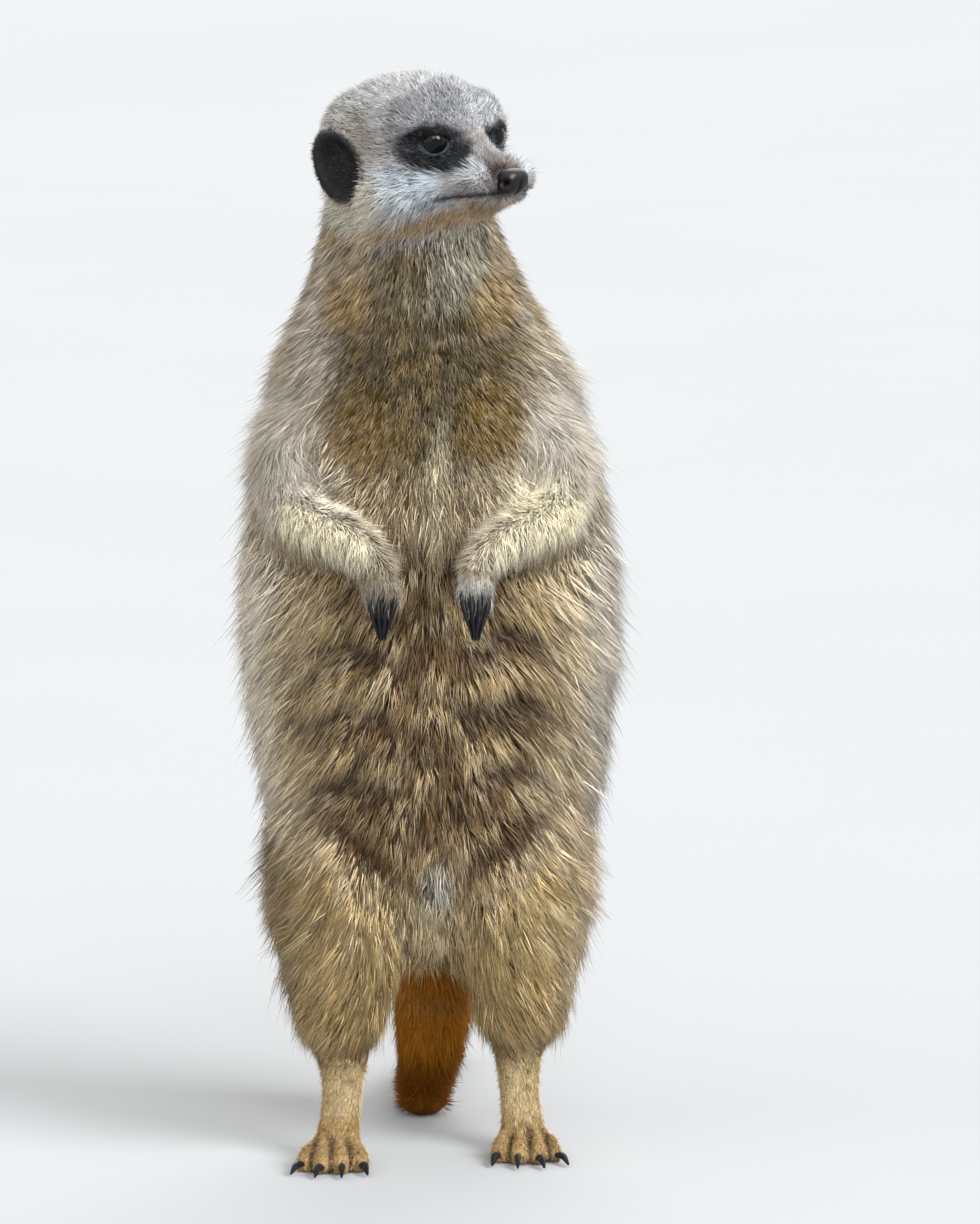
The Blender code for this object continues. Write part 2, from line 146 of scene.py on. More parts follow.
class Finish:
    """A material whose nodes are made one by one and joined to one shader."""

    def __init__(self, name, **constants):
        self.material = bpy.data.materials.new(name)
        self.material.use_nodes = True
        self.tree = self.material.node_tree
        self.shader = self.tree.nodes["Principled BSDF"]
        for socket, value in constants.items():
            self.shader.inputs[socket.replace("_", " ")].default_value = value

    def node(self, kind, settings=None, inputs=(), output=0):
        """Any node: its type, its settings, then the values or links of its sockets."""
        made = self.tree.nodes.new(kind)
        for key, value in (settings or {}).items():
            if key == "stops":
                self.set_stops(made.color_ramp, value)
            else:
                setattr(made, key, value)
        pairs = inputs.items() if isinstance(inputs, dict) else enumerate(inputs)
        for key, value in pairs:
            if isinstance(value, Value):
                self.tree.links.new(value.socket, made.inputs[key])
            else:
                made.inputs[key].default_value = value
        return Value(self, made.outputs[output])

    @staticmethod
    def set_stops(ramp, stops):
        while len(ramp.elements) < len(stops):
            ramp.elements.new(0.5)
        for element, (place, colour) in zip(ramp.elements, stops):
            element.position = place
            element.color = (*colour, 1)

    def ramp(self, factor, stops):
        return self.node("ShaderNodeValToRGB", {"stops": stops}, {"Fac": factor})

    def mixed(self, factor, first, second, way="MIX"):
        settings = {"data_type": "RGBA", "blend_type": way}
        first, second = [(*c, 1) if isinstance(c, tuple) else c for c in (first, second)]
        return self.node("ShaderNodeMix", settings, {0: factor, 6: first, 7: second}, 2)

    def place(self):
        return self.node("ShaderNodeTexCoord", output=3)

    def noise(self, scale, detail, vector=None):
        inputs = {"Vector": vector or self.place(), "Scale": scale, "Detail": detail, "Roughness": 0.55}
        return self.node("ShaderNodeTexNoise", {}, inputs)

    def own(self, name, output=2):
        """The piece's own stored value: its colour is output 0 and its number is output 2."""
        return self.node("ShaderNodeAttribute", {"attribute_name": name}, output=output)

    def colour(self, value):
        self.tree.links.new(value.socket, self.shader.inputs["Base Color"])

    def roughness(self, value):
        self.tree.links.new(value.socket, self.shader.inputs["Roughness"])

    def bump(self, height, strength, distance):
        settings = {"Height": height, "Strength": strength, "Distance": distance}
        made = self.node("ShaderNodeBump", {}, settings)
        self.tree.links.new(made.socket, self.shader.inputs["Normal"])

# %% [markdown]
# The floor of a studio is a wide roll of paper. A box or a bent sheet would do, but one flat plane
# far larger than the view has no edge to hide. It is matt and has no gloss, because a glossy floor
# burns out white where the light from behind meets it.

# %% Floor
bpy.ops.mesh.primitive_plane_add(size=30, location=(0, 0, cad_low.z))
floor = bpy.context.object
floor.name = "floor"
floor_finish = Finish("pale_floor", Roughness=0.85, Specular_IOR_Level=0.0)
floor_finish.colour(floor_finish.ramp(floor_finish.noise(2.5, 4.0),
                                      [(0.3, (0.372, 0.372, 0.372)), (0.7, (0.382, 0.382, 0.382))]))
floor_finish.bump(floor_finish.noise(900, 2.0), 0.15, 0.0004)
floor.data.materials.append(floor_finish.material)
print("floor of", round(floor.dimensions.x), "metres")

# %% [markdown]
# The head is turned, so everything on it is placed in the head's own directions: forward
# through the nose, to the animal's left, and up. They come from the solids of the eyes and
# the nose, and lengths along them are in millimetres from the middle of the skull.

# %% Directions of the head
def middle(node):
    low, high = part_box(node)
    return (low + high) / 2


eyes_middle = (middle("eye_left") + middle("eye_right")) / 2
UP = Vector((0, 0, 1))
AHEAD = middle("nose") - eyes_middle
AHEAD = Vector((AHEAD.x, AHEAD.y, 0)).normalized()
LEFT = UP.cross(AHEAD)
EYE_RADIUS = (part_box("eye_left")[1].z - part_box("eye_left")[0].z) / 2
BEHIND_EYES, BELOW_EYES = 20.2 * MM, 6.2 * MM
SKULL = eyes_middle - AHEAD * BEHIND_EYES - UP * BELOW_EYES
HEAD_AXES = np.array([AHEAD, LEFT, UP])


def in_head(points):
    """Points as millimetres forward, to the left and up from the middle of the skull."""
    return (points - np.array(SKULL)) @ HEAD_AXES.T / MM


print("nose in the head's directions:", in_head(np.array([middle("nose")])).round(1))

# %% [markdown]
# The skin is one closed shell in place of all the solids of flesh. Their copies are swollen
# by a hair's breadth so that they meet, and a voxel remesh turns them into one surface
# without a seam. Later it is pushed in by the depth of the coat.

# %% Gather the flesh
FLESH = sorted(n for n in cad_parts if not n.startswith(("eye", "nose")) and "claw" not in n)
UNDER = [*FLESH, "eye_left", "eye_right", "nose"]  # the sockets are filled, and opened later


def one_mesh(name, nodes):
    """The solids of these nodes in one new mesh, and which node each triangle is from."""
    points, faces, owners, start = [], [], [], 0
    for number, node in enumerate(nodes):
        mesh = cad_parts[node].data
        points += [tuple(v.co) for v in mesh.vertices]
        faces += [[start + i for i in p.vertices] for p in mesh.polygons]
        owners += [number] * len(mesh.polygons)
        start = len(points)
    mesh = bpy.data.meshes.new(name)
    mesh.from_pydata(points, [], faces)
    thing = bpy.data.objects.new(name, mesh)
    scene.collection.objects.link(thing)
    return thing, np.array(points), faces, np.array(owners)


def only(thing):
    """Selects this object alone and makes it active."""
    bpy.ops.object.select_all(action="DESELECT")
    thing.select_set(True)
    bpy.context.view_layer.objects.active = thing


def merge_points(thing, distance):
    only(thing)
    bpy.ops.object.mode_set(mode="EDIT")
    bpy.ops.mesh.select_all(action="SELECT")
    bpy.ops.mesh.remove_doubles(threshold=distance)
    bpy.ops.object.mode_set(mode="OBJECT")


def modified(thing, kind, **settings):
    """Adds a modifier with these settings and applies it."""
    only(thing)
    bpy.ops.object.modifier_add(type=kind)
    modifier = thing.modifiers[-1]
    for key, value in settings.items():
        setattr(modifier, key, value)
    bpy.ops.object.modifier_apply(modifier=modifier.name)


skin, flesh_points, flesh_faces, flesh_owner = one_mesh("skin", UNDER)
flesh_surface = BVHTree.FromPolygons(flesh_points.tolist(), flesh_faces)
SAME_PLACE, SWOLLEN = 0.01 * MM, 0.3 * MM
merge_points(skin, SAME_PLACE)
modified(skin, "DISPLACE", strength=SWOLLEN, mid_level=0)
modified(skin, "REMESH", mode="VOXEL", voxel_size=1.3 * MM)
coat_ends = BVHTree.FromPolygons([tuple(v.co) for v in skin.data.vertices],
                                 [tuple(p.vertices) for p in skin.data.polygons])
print("one surface of", len(skin.data.polygons), "faces")

# %% [markdown]
# Each point of the skin remembers the solid nearest to it. Tables by body part then say how
# deep the coat is, how long, which way it lies and how far it stands up. Evening these
# values out over neighbouring points makes them change gradually, as on a real animal.

# %% Arrays of the skin
def read_rows(items, name, width, kind=float):
    """One row of numbers for each point, edge or face."""
    flat = np.empty(len(items) * width, dtype=kind)
    items.foreach_get(name, flat)
    return flat.reshape(-1, width)


def points_of(thing):
    return read_rows(thing.data.vertices, "co", 3)


def normals_of(thing):
    return read_rows(thing.data.vertex_normals, "vector", 3)


def edges_of(thing):
    return read_rows(thing.data.edges, "vertices", 2, np.int64)


def set_points(thing, points):
    thing.data.vertices.foreach_set("co", np.ascontiguousarray(points, dtype=np.float32).ravel())
    thing.data.update()


def evened(values, edges, rounds, share=1.0):
    """Each round moves every value towards the mean of its neighbours."""
    values = np.array(values, dtype=float).reshape(len(values), -1)
    ends = np.concatenate([edges[:, 0], edges[:, 1]])
    others = np.concatenate([edges[:, 1], edges[:, 0]])
    count = np.maximum(np.bincount(ends, minlength=len(values)), 1)
    for _ in range(rounds):
        mean = [np.bincount(ends, v[others], len(values)) / count for v in values.T]
        values = values + share * (np.array(mean).T - values)
    return values


def unit(vectors):
    return vectors / np.maximum(np.linalg.norm(vectors, axis=1), 1e-9)[:, None]


def nearest_part(points):
    """The number of the solid of flesh nearest to each point."""
    found = [flesh_surface.find_nearest(p)[2] for p in points.tolist()]
    return flesh_owner[np.array(found)]


def ease(low, high, value):
    """Goes smoothly from 0 at low to 1 at high."""
    share = np.clip((value - low) / (high - low), 0, 1)
    return share * share * (3 - 2 * share)


def between(low, full, still, gone, value):
    """Rises smoothly from 0 at low to 1 at full, and falls from 1 at still to 0 at gone."""
    return ease(low, full, value) * ease(gone, still, value)


def peak(value, middle, width):
    """1 at the middle, and fading to nothing over about twice this width on both sides."""
    return np.exp(-((value - middle) / width) ** 2)


# %% Depth of the coat
COAT_DEPTH = {"head": 2.3, "ear": 0.5, "neck": 5.2, "trunk": 5.6, "foreleg": 3.2, "forepaw": 0.8,
              "thigh": 5.5, "shank": 3.4, "hindfoot": 0.8, "tail_base": 3.2, "tail_middle": 2.4,
              "tail_tip": 1.6}
PART_NAMES = [next((k for k in COAT_DEPTH if n.startswith(k)), "head") for n in UNDER]


def by_part(table, parts):
    """A table's value for each point, by the part of the body that it is on."""
    return np.array([table[name] for name in PART_NAMES])[parts]


def is_on(parts, *names):
    """1 for each point on one of these parts of the body, and 0 for the others."""
    return by_part({k: float(k in names) for k in COAT_DEPTH}, parts)


def depth_of_coat(points, parts, edges, outward):
    depth = by_part(COAT_DEPTH, parts)
    f, l, u = in_head(points).T
    bridge = ease(18, 28, f) * ease(6, 3, np.abs(l)) * ease(-6, -2, u)
    depth = np.where(is_on(parts, "head") > 0, depth - 0.9 * bridge - 0.4 * ease(34, 39, f), depth)
    lower_leg = ease(48, 36, points[:, 2] / MM)
    depth = depth - is_on(parts, "shank") * lower_leg * 2.0
    sole = ease(-0.35, -0.8, outward[:, 2]) * ease(7, 4, points[:, 2] / MM)
    return (evened(depth, edges, 16)[:, 0] * (1 - sole) - 0.3 * sole) * MM


points, edges = points_of(skin), edges_of(skin)
parts = nearest_part(points)
outward = unit(evened(normals_of(skin), edges, 4))
depth = depth_of_coat(points, parts, edges, outward)
points = points - outward * (depth + SWOLLEN)[:, None]
BROAD = {"trunk": 1, "neck": 1, "thigh": 1, "shank": 0.7, "foreleg": 0.25, "tail_base": 0.6}
z = points[:, 2] / MM
broad_part = by_part({k: BROAD.get(k, 0.0) for k in COAT_DEPTH}, parts)
upper_arm = between(196, 208, 240, 250, z)
broad_part = np.maximum(broad_part, upper_arm) * ease(38, 48, z)
calm = evened(broad_part, edges, 10)
points = evened(points, edges, 30, 0.9 * calm)  # fills the creases that the coat hides
points = evened(points, edges, 3, 0.5)
set_points(skin, points)
modified(skin, "REMESH", mode="VOXEL", voxel_size=0.8 * MM)
print("skin under the coat:", len(skin.data.polygons), "faces")

# %% [markdown]
# The coat hides the body's skin, so few faces are enough there. The face, paws and feet are
# kept fine, and the parts round the eyes, the nose and the mouth are cut finer still, because
# lids and lips are thinner than the voxels.

# %% Where the skin is fine
def weight_group(thing, name, weights):
    group = thing.vertex_groups.new(name=name)
    levels = np.round(weights * 8).astype(int)
    for level in range(1, 9):
        chosen = np.nonzero(levels == level)[0]
        if len(chosen):
            group.add(chosen.tolist(), level / 8, "REPLACE")


def cut_finer(thing, chosen):
    """Divides the chosen faces once."""
    only(thing)
    for kind in (thing.data.polygons, thing.data.edges, thing.data.vertices):
        kind.foreach_set("select", np.zeros(len(kind), dtype=bool))
    thing.data.polygons.foreach_set("select", chosen)
    bpy.ops.object.mode_set(mode="EDIT")
    bpy.ops.mesh.select_mode(type="FACE")
    bpy.ops.mesh.subdivide(number_cuts=1)
    bpy.ops.object.mode_set(mode="OBJECT")


EYES = {side: np.array(middle(f"eye_{side}")) for side in ("left", "right")}
SIGN = {"left": 1, "right": -1}
for reach in (11.5, 8.5):
    centres = read_rows(skin.data.polygons, "center", 3)
    f, l, u = in_head(centres).T
    near_eye = [np.linalg.norm(centres - e, axis=1) < reach * MM for e in EYES.values()]
    front = (reach > 10) & (f > 20) & (u < 4) & (u > -16)
    on_head = (f > -14) & (np.abs(l) < 27) & (u > -12) & (f < 45) & (centres[:, 2] > 0.26)
    cut_finer(skin, (near_eye[0] | near_eye[1] | front) & on_head)
print("skin:", len(skin.data.polygons), "faces after the fine parts are cut")

# %% [markdown]
# The lids are made by moving the skin to or from the middle of each eye. Inside an almond
# opening it goes behind the eyeball, on the opening's edge it rises in a rim, and farther
# out it returns to the form of the head, past one shallow fold.

# %% Lids
GAZE_TURN = math.radians(34)  # each eye looks this far outwards from straight ahead
OPENING = {"front": 4.7, "rear": 4.2, "above": 2.1, "below": 3.3}  # arcs on the eyeball, in mm


def about_eye(points, side):
    """Arcs in mm towards the nose and upwards from the middle of the gaze, and the distance."""
    sign = SIGN[side]
    gaze = np.array([math.cos(GAZE_TURN), sign * math.sin(GAZE_TURN), 0.02]) @ HEAD_AXES
    nosewards = np.array([math.sin(GAZE_TURN), -sign * math.cos(GAZE_TURN), 0]) @ HEAD_AXES
    upwards = np.cross(gaze, nosewards) * -sign
    away = points - EYES[side]
    distance = np.linalg.norm(away, axis=1) / MM
    ways = away / MM / distance[:, None]
    along, up, ahead = ways @ nosewards, ways @ upwards, ways @ gaze
    sine = np.hypot(along, up)
    arc = EYE_RADIUS / MM * np.arctan2(sine, ahead) / np.maximum(sine, 1e-6)
    return along * arc, up * arc, distance, ways


def beside_eye(points, side):
    """Millimetres towards the nose, upwards and along the gaze from the middle of the eye."""
    sign = SIGN[side]
    away = (points - EYES[side]) @ HEAD_AXES.T / MM
    c, s = math.cos(GAZE_TURN), math.sin(GAZE_TURN)
    return away[:, 0] * s - sign * away[:, 1] * c, away[:, 2], away[:, 0] * c + sign * away[:, 1] * s


def opening(along, up):
    """Under 1 inside the almond between the lids, and 1 on its edge."""
    wide = np.where(along > 0, OPENING["front"], OPENING["rear"])
    high = np.where(up > 0, OPENING["above"], OPENING["below"])
    return (np.abs(along / wide) ** 1.75 + np.abs(up / high) ** 1.9) ** (1 / 1.85)


def open_lids(points, side):
    along, up, distance, ways = about_eye(points, side)
    size = EYE_RADIUS / MM
    share = opening(along, up)
    rim = size + 0.42 + 0.2 * (up > 0)
    lid = np.where(share < 1.15, rim, rim - 0.15 * peak(share, 1.42, 0.12))
    wall = ease(0.95, 1.05, share)
    wanted = size * 0.93 * (1 - wall) + lid * wall
    held = 1 - ease(1.18, 1.62 + 0.2 * (up < 0) + 0.65 * ease(0, 1.5, up), share)
    near = (distance < size * 2.1) & (share < 2.4 + 1.8 * (up > 0))
    moved = distance + (wanted - distance) * held
    moved = np.where(share > 1.1, np.maximum(moved, size + 0.35), moved)  # no part of the ball shows
    return np.where(near[:, None], EYES[side] + ways * moved[:, None] * MM, points)


points, edges = points_of(skin), edges_of(skin)
for side in SIGN:
    points = open_lids(points, side)
set_points(skin, points)
print("lids opened to", OPENING)

# %% [markdown]
# A closed mouth shows as one thin groove with a soft lip over it. The groove could be cut with a
# second mesh, but pushing the skin in along a curve keeps it one closed surface. The same way
# fills the temples and cheekbones, which are broader than the plain solids of the head.

# %% Mouth and temples
def mouth_height(f):
    """How far up the line of the mouth is, from its front to its corner."""
    return -7.4 - 2.2 * np.clip((39 - f) / 16, 0, 1) ** 1.3


def mouth_line(f, u):
    """1 on the line of the mouth, 0 from a millimetre away."""
    along = between(21.5, 25.5, 40, 42, f)
    return peak(u, mouth_height(f), 0.5) * along


def shape_mouth(points, outward):
    f, _, u = in_head(points).T
    above = u - mouth_height(f)
    lip = peak(above, 1.5, 0.9) * ease(22, 27, f)
    chin = peak(above, -1.6, 0.8) * ease(22, 27, f)
    under = ease(-2, -5, above) * ease(24, 32, f)
    move = -1.0 * mouth_line(f, u) + 0.35 * lip + 0.1 * chin - 0.5 * under
    return points + outward * (move * MM)[:, None]


def fuller_temples(points, outward):
    """The skull is broader and flatter on top than the solids of the head."""
    f, l, u = in_head(points).T
    along = between(-26, -12, 15, 25, f)
    temple = peak(np.abs(l), 14.5, 6) * peak(u, 12.5, 6.5)
    crown = ease(12, 19, u) * ease(-14, 0, f)
    cheekbone = ease(9, 15, np.abs(l)) * peak(f, 11, 6.5) * peak(u, 3, 9)
    return points + outward * (((2.3 * temple + 0.9 * crown) * along + 3.4 * cheekbone) * MM)[:, None]

# %% [markdown]
# The ear is a low, rounded shell against the side of the head, with a rim, a dish and one fold.
# A separate shell would leave a seam under short hair, so the ear is shaped in the head's own
# skin: its points move straight out or in, to heights that depend on where they are in the ear.

# %% Ears
EAR_MIDDLE = (-3.2, 22.6, -1.7)  # in the head's directions, in mm
EAR_SIZE = (8.8, 9.7)  # half its length from front to back, and half its height


def in_ear(points, side):
    """How far across the ear a point is, 1 on its edge, with its shares ahead and up, and mm out."""
    f, l, u = in_head(points).T
    up = (u - EAR_MIDDLE[2]) / EAR_SIZE[1]
    ahead = (f - EAR_MIDDLE[0] + 3.0 * up) / EAR_SIZE[0] / (1 - 0.22 * ease(0, 1, -up))
    return np.hypot(ahead, up), ahead, up, l * SIGN[side] - EAR_MIDDLE[1]


def shape_ear(points, side, outward):
    across, ahead, up, out = in_ear(points, side)
    facing = outward @ np.array(LEFT) * SIGN[side] > 0.1
    folds = 1.3 * peak(ahead, 0.15 - 0.5 * up, 0.17) * ease(-0.7, 0.2, up)
    dish = -1.9 + folds + 0.8 * ease(-0.3, -0.9, up)
    rim = 1.5 + 0.7 * ease(0.3, -0.9, ahead) - 0.3 * ease(0.2, 0.9, ahead)
    inside = ease(0.86, 0.60, across)
    wanted = dish * inside + rim * (1 - inside)
    held = ease(1.16, 0.98, across) * (out > -7) * facing
    move = (wanted - out) * held * MM
    return points + np.outer(move, np.array(LEFT) * SIGN[side])

# %% [markdown]
# The toes are parted by narrow gaps that run back from between the claws, and three soft folds
# cross the belly, which the hair above hangs over. Both are small changes of height, so they
# move the points of the skin along its normals, and no faces have to be added.

# %% Toes and folds
TOES = {}  # for each foot, where its claws are and the point that its toes come from
for foot, back in (("forepaw", (0, 0.002, 0.03)), ("hindfoot", (0, 0.045, 0.004))):
    for side in SIGN:
        group = foot.replace("paw", "claw").replace("foot", "claw") + "_" + side
        tips = np.array([middle(n) for n in sorted(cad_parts) if n.startswith(group)])
        TOES[f"{foot}_{side}"] = (tips, tips.mean(0) + np.array(back))


def between_toes(points):
    """1 in the gaps between the toes, and 1 along the middle of each toe."""
    gap, ridge = np.zeros(len(points)), np.zeros(len(points))
    for foot, (tips, heel) in TOES.items():
        long = 0.012 if "paw" in foot else 0.017
        distance = []
        for tip in tips:
            way = (heel - tip) / np.linalg.norm(heel - tip)
            share = np.clip((points - tip) @ way, -0.002, long)
            distance.append(np.linalg.norm(points - tip - share[:, None] * way, axis=1) / MM)
        ahead = ((points - tips.mean(0)) @ way) / MM
        first, second = np.sort(distance, axis=0)[:2]
        near = ease(6.5, 4.5, first) * ease(long / MM, long / MM - 5, ahead)
        gap = np.maximum(gap, near * peak(second, first, 0.9))
        ridge = np.maximum(ridge, near * ease(1.0, 3.0, second - first))
    return gap, ridge


FOLDS = (154, 136, 116)  # heights of the three folds across the belly, in mm


def fold_depth(x, z):
    """1 in the bottom of a fold, which arches over each side of the belly."""
    total = np.zeros(len(x))
    for height in FOLDS:
        line = height + 3.5 + 1.8 * np.sign(x) - 0.035 * (np.abs(x) - 19) ** 2
        total += peak(z, line, np.where(z > line, 1.8, 5.2))
    return np.clip(total, 0, 1) * ease(4, 11, np.abs(x)) * ease(35, 25, np.abs(x))


def shape_belly(points, outward):
    x, _, z = points.T / MM
    front = ease(0.2, 0.7, -outward[:, 1]) * between(84, 94, 172, 188, z)
    return points - outward * (fold_depth(x, z) * front * 1.5 * MM)[:, None]


parts = nearest_part(points)
outward = normals_of(skin)
points = fuller_temples(points, outward)
points = shape_mouth(points, outward)
gap, ridge = between_toes(points)
z = points[:, 2] / MM
tail = evened(is_on(parts, "tail_base", "tail_middle"), edges, 12)[:, 0] * between(8, 40, 70, 84, z)
points = points + outward * ((0.35 * ridge - 1.3 * gap + 2.0 * tail) * MM)[:, None]
for side in SIGN:
    points = shape_ear(points, side, outward)
points = shape_belly(points, unit(evened(outward, edges, 6)))
points[:, 2] = np.maximum(points[:, 2], cad_low.z)
set_points(skin, points)
skin.data.shade_smooth()
print("skin's box in mm:", (points.min(0) / MM).round(1), (points.max(0) / MM).round(1))

# %% [markdown]
# Skin and coat wear the same markings, so one function gives the colour at any place. It is
# painted like an animal in a field guide: a ground colour for each part of the body, then
# patches laid over it by their place on the animal and by which way the skin there faces.

# %% Colours of the animal
SILVER, GREY_TAN, EAR = (0.63, 0.58, 0.51), (0.38, 0.30, 0.20), (0.034, 0.032, 0.033)
CREAM, WHITE, BRIGHT = (0.72, 0.64, 0.43), (0.66, 0.71, 0.78), (0.92, 0.86, 0.66)
BROWN, DARK, BLACK = (0.125, 0.09, 0.042), (0.11, 0.073, 0.04), (0.014, 0.0135, 0.014)
RUST, RUST_DARK, ORANGE = (0.47, 0.19, 0.02), (0.12, 0.032, 0.002), (0.56, 0.37, 0.17)
CROWN, MOTTLE, BRIDGE = (0.62, 0.64, 0.70), (0.41, 0.365, 0.325), (0.33, 0.315, 0.315)
CHEEK, LEG, FOOT = (0.72, 0.68, 0.56), (0.50, 0.385, 0.215), (0.38, 0.255, 0.115)
THIGH, THIGH_OUT, PAW = (0.56, 0.41, 0.19), (0.38, 0.275, 0.14), (0.38, 0.32, 0.215)
PURPLE = (0.085, 0.055, 0.042)


class Painting:
    """Colours at many places, painted over each other."""

    def __init__(self, ground):
        self.tone = np.array(ground, dtype=float)

    def over(self, mask, colour):
        self.tone += np.clip(mask, 0, 1)[:, None] * (np.array(colour) - self.tone)

    def within(self, share):
        """A way to paint on one part of the body alone."""
        return lambda mask, colour: self.over(share * mask, colour)


def spot(a, b, middle, radii, soft=0.5):
    """1 inside an oval, fading to 0 at its edge."""
    across = np.hypot((a - middle[0]) / radii[0], (b - middle[1]) / radii[1])
    return ease(1 + soft / 2, 1 - soft / 2, across)


def wave(points, size, seed):
    """A slow, uneven change between -1 and 1, about size mm from one crest to the next."""
    mixer = np.random.default_rng(seed)
    ways = mixer.normal(size=(7, 3))
    ways *= (mixer.uniform(0.6, 1.5, 7) / np.linalg.norm(ways, axis=1) * 2 * math.pi / size)[:, None]
    return np.sin(points / MM @ ways.T + mixer.uniform(0, 6.28, 7)).sum(1) / 2.9

# %% [markdown]
# The face has a pale crown, a dark patch round each eye, a pale cheek, an orange edge of the jaw
# and a dark tip. Painting on an unwrap would break at its seams, so each mark is an oval, a band
# or an edge in millimetres from the middle of the skull, and the lids' own rims follow the eyes.

# %% Markings of the head
def fluffy_cheek(points):
    """1 on the pads that carry the whiskers and on the cheeks behind them."""
    f, l, u = in_head(points).T
    above = u - mouth_height(f)
    across = ease(3, 7, np.abs(l)) * ease(3, -2, u) * ease(1.0, 3.5, above)
    return between(12, 20, 34, 38, f) * across


def head_markings(points, paint, on):
    f, l, u = in_head(points).T
    side = np.abs(l)
    rough = wave(points, 5, 3) * 1.2
    lay = paint.within(on)
    lay(1, CROWN)
    lay(spot(f, u + rough, (3, 4.5), (10.5, 9), 0.8) * ease(10, 15, side) * 0.9, MOTTLE)
    specks = ease(0.1, 0.7, wave(points, 4, 71)) * between(-2, 5, 12, 18, u)
    lay(specks * 0.3, (0.32, 0.27, 0.23))
    lay(spot(f, u + rough * 0.3, (14, 13.5), (12, 3.6), 0.9) * ease(4, 8, side) * 0.10, WHITE)
    lay(ease(10, 18, f) * ease(0, 5, u) * 0.85 * ease(8, -2, l), (0.22, 0.225, 0.25))
    lay(ease(5, 13, f) * ease(0, 5, u) * 0.85 * ease(-2, 8, l), (0.32, 0.33, 0.36))
    lay(spot(f, u + rough * 0.3, (20, -5.5), (11, 5), 0.8), (0.70, 0.80, 0.93))
    lay(spot(f, u, (0, -11), (13, 10), 0.8) * ease(7, 11, side), CHEEK)
    lay(fluffy_cheek(points) * ease(26, 31, f) * 0.75, (0.70, 0.75, 0.82))
    # painted shade: the far side of the muzzle, its white fluff included, is darker than the near side
    lay(ease(24, 28, f) * ease(1, 5, l) * 0.8, (0.40, 0.43, 0.48))
    jaw = -11.4 - 0.26 * np.clip(34 - f, 0, 40)
    lay(ease(1, 3, jaw - u) * ease(10, 20, f), (0.66, 0.60, 0.48))
    edge_of_jaw = ease(2.5, 1.0, np.abs(u - jaw + rough * 0.3)) * between(-10, 0, 35, 41, f)
    lay(edge_of_jaw * 0.85, ORANGE)
    lay(ease(22, 30, f) * ease(6.0, 3.2, side) * ease(-6, -3, u), BRIDGE)
    lay(ease(31, 37, f) * ease(-7.5, -5, u) * ease(6.5, 4.0, side), (0.165, 0.145, 0.148))
    from_nose = np.sqrt((f - 40) ** 2 + l ** 2 + (u + 4) ** 2)
    lay(ease(6.0, 4.7, from_nose) * ease(-8, -6.5, u), (0.085, 0.065, 0.058))
    above = u - mouth_height(f)
    lay(ease(29, 35, f) * ease(-2.5, -3.5, u) * ease(0, 1, above) * 0.6, (0.27, 0.245, 0.24))
    lay(ease(28, 35, f) * ease(0, -1.5, above) * 0.6, (0.34, 0.27, 0.19))
    lip = between(-0.5, 0.5, 1, 4.5, above) * ease(24, 33, f)
    lay(lip * 0.5, (0.16, 0.14, 0.13))
    lay(0.95 * peak(above, 0, 0.9) * ease(20.5, 25.5, f), (0.045, 0.038, 0.034))
    lay(ease(-6, -18, f) * 0.7, (0.50, 0.42, 0.32))
    for name in SIGN:
        along, up, ahead = beside_eye(points, name)
        far_side = name == "left"
        wide, high = 10.6 - 3.8 * far_side * ease(0, 3, along), 6.9 - 0.7 * far_side
        edge = np.hypot((along - 0.35 + rough * 0.3) / wide,
                        (up + 1.9 + 0.05 * along + rough * 0.2) / high)
        lay((ahead > -4) * ease(1.10, 0.86, edge), BLACK)
        lobes = spot(along, up, (5.0, -2.5), (4.5, 3.2), 1.4)
        lobes = lobes + spot(along, up, (-4.5, -2.8), (4.5, 3.0), 1.4)
        lay((ahead > -4) * lobes * 0.75, (0.045, 0.050, 0.066))
        nosewards, upwards, far, _ = about_eye(points, name)
        share, close = opening(nosewards, upwards), (far < 8) * 0.85
        # painted shade: the upper lids are darker than the black patch round them
        paint.over(ease(1.6, 1.35, share) * ease(-0.2, 0.8, upwards) * close, (0.004, 0.004, 0.005))
        paint.over(peak(share, 1.05, 0.05) * ease(0.3, -1.6, upwards) * close, (0.085, 0.12, 0.175))


def ear_share(points, depth=6):
    """1 on the ears, 0 beside them, to this depth in mm."""
    share = np.zeros(len(points))
    for side in SIGN:
        across, ahead, _, out = in_ear(points, side)
        reach = 1.06 + 0.2 * (out < -1) * (ahead < -0.1)  # farther round on its back
        share = np.maximum(share, ease(reach, reach - 0.1, across) * (out > -depth))
    return share

# %% [markdown]
# The trunk is a grizzled grey and tan, with dark bands across the back, a brown chest, and a dark
# belly with little hair. No mark on a coat has a straight or even edge, so a slow wave pushes the
# edges about, and broad, soft patches break up the plain parts.

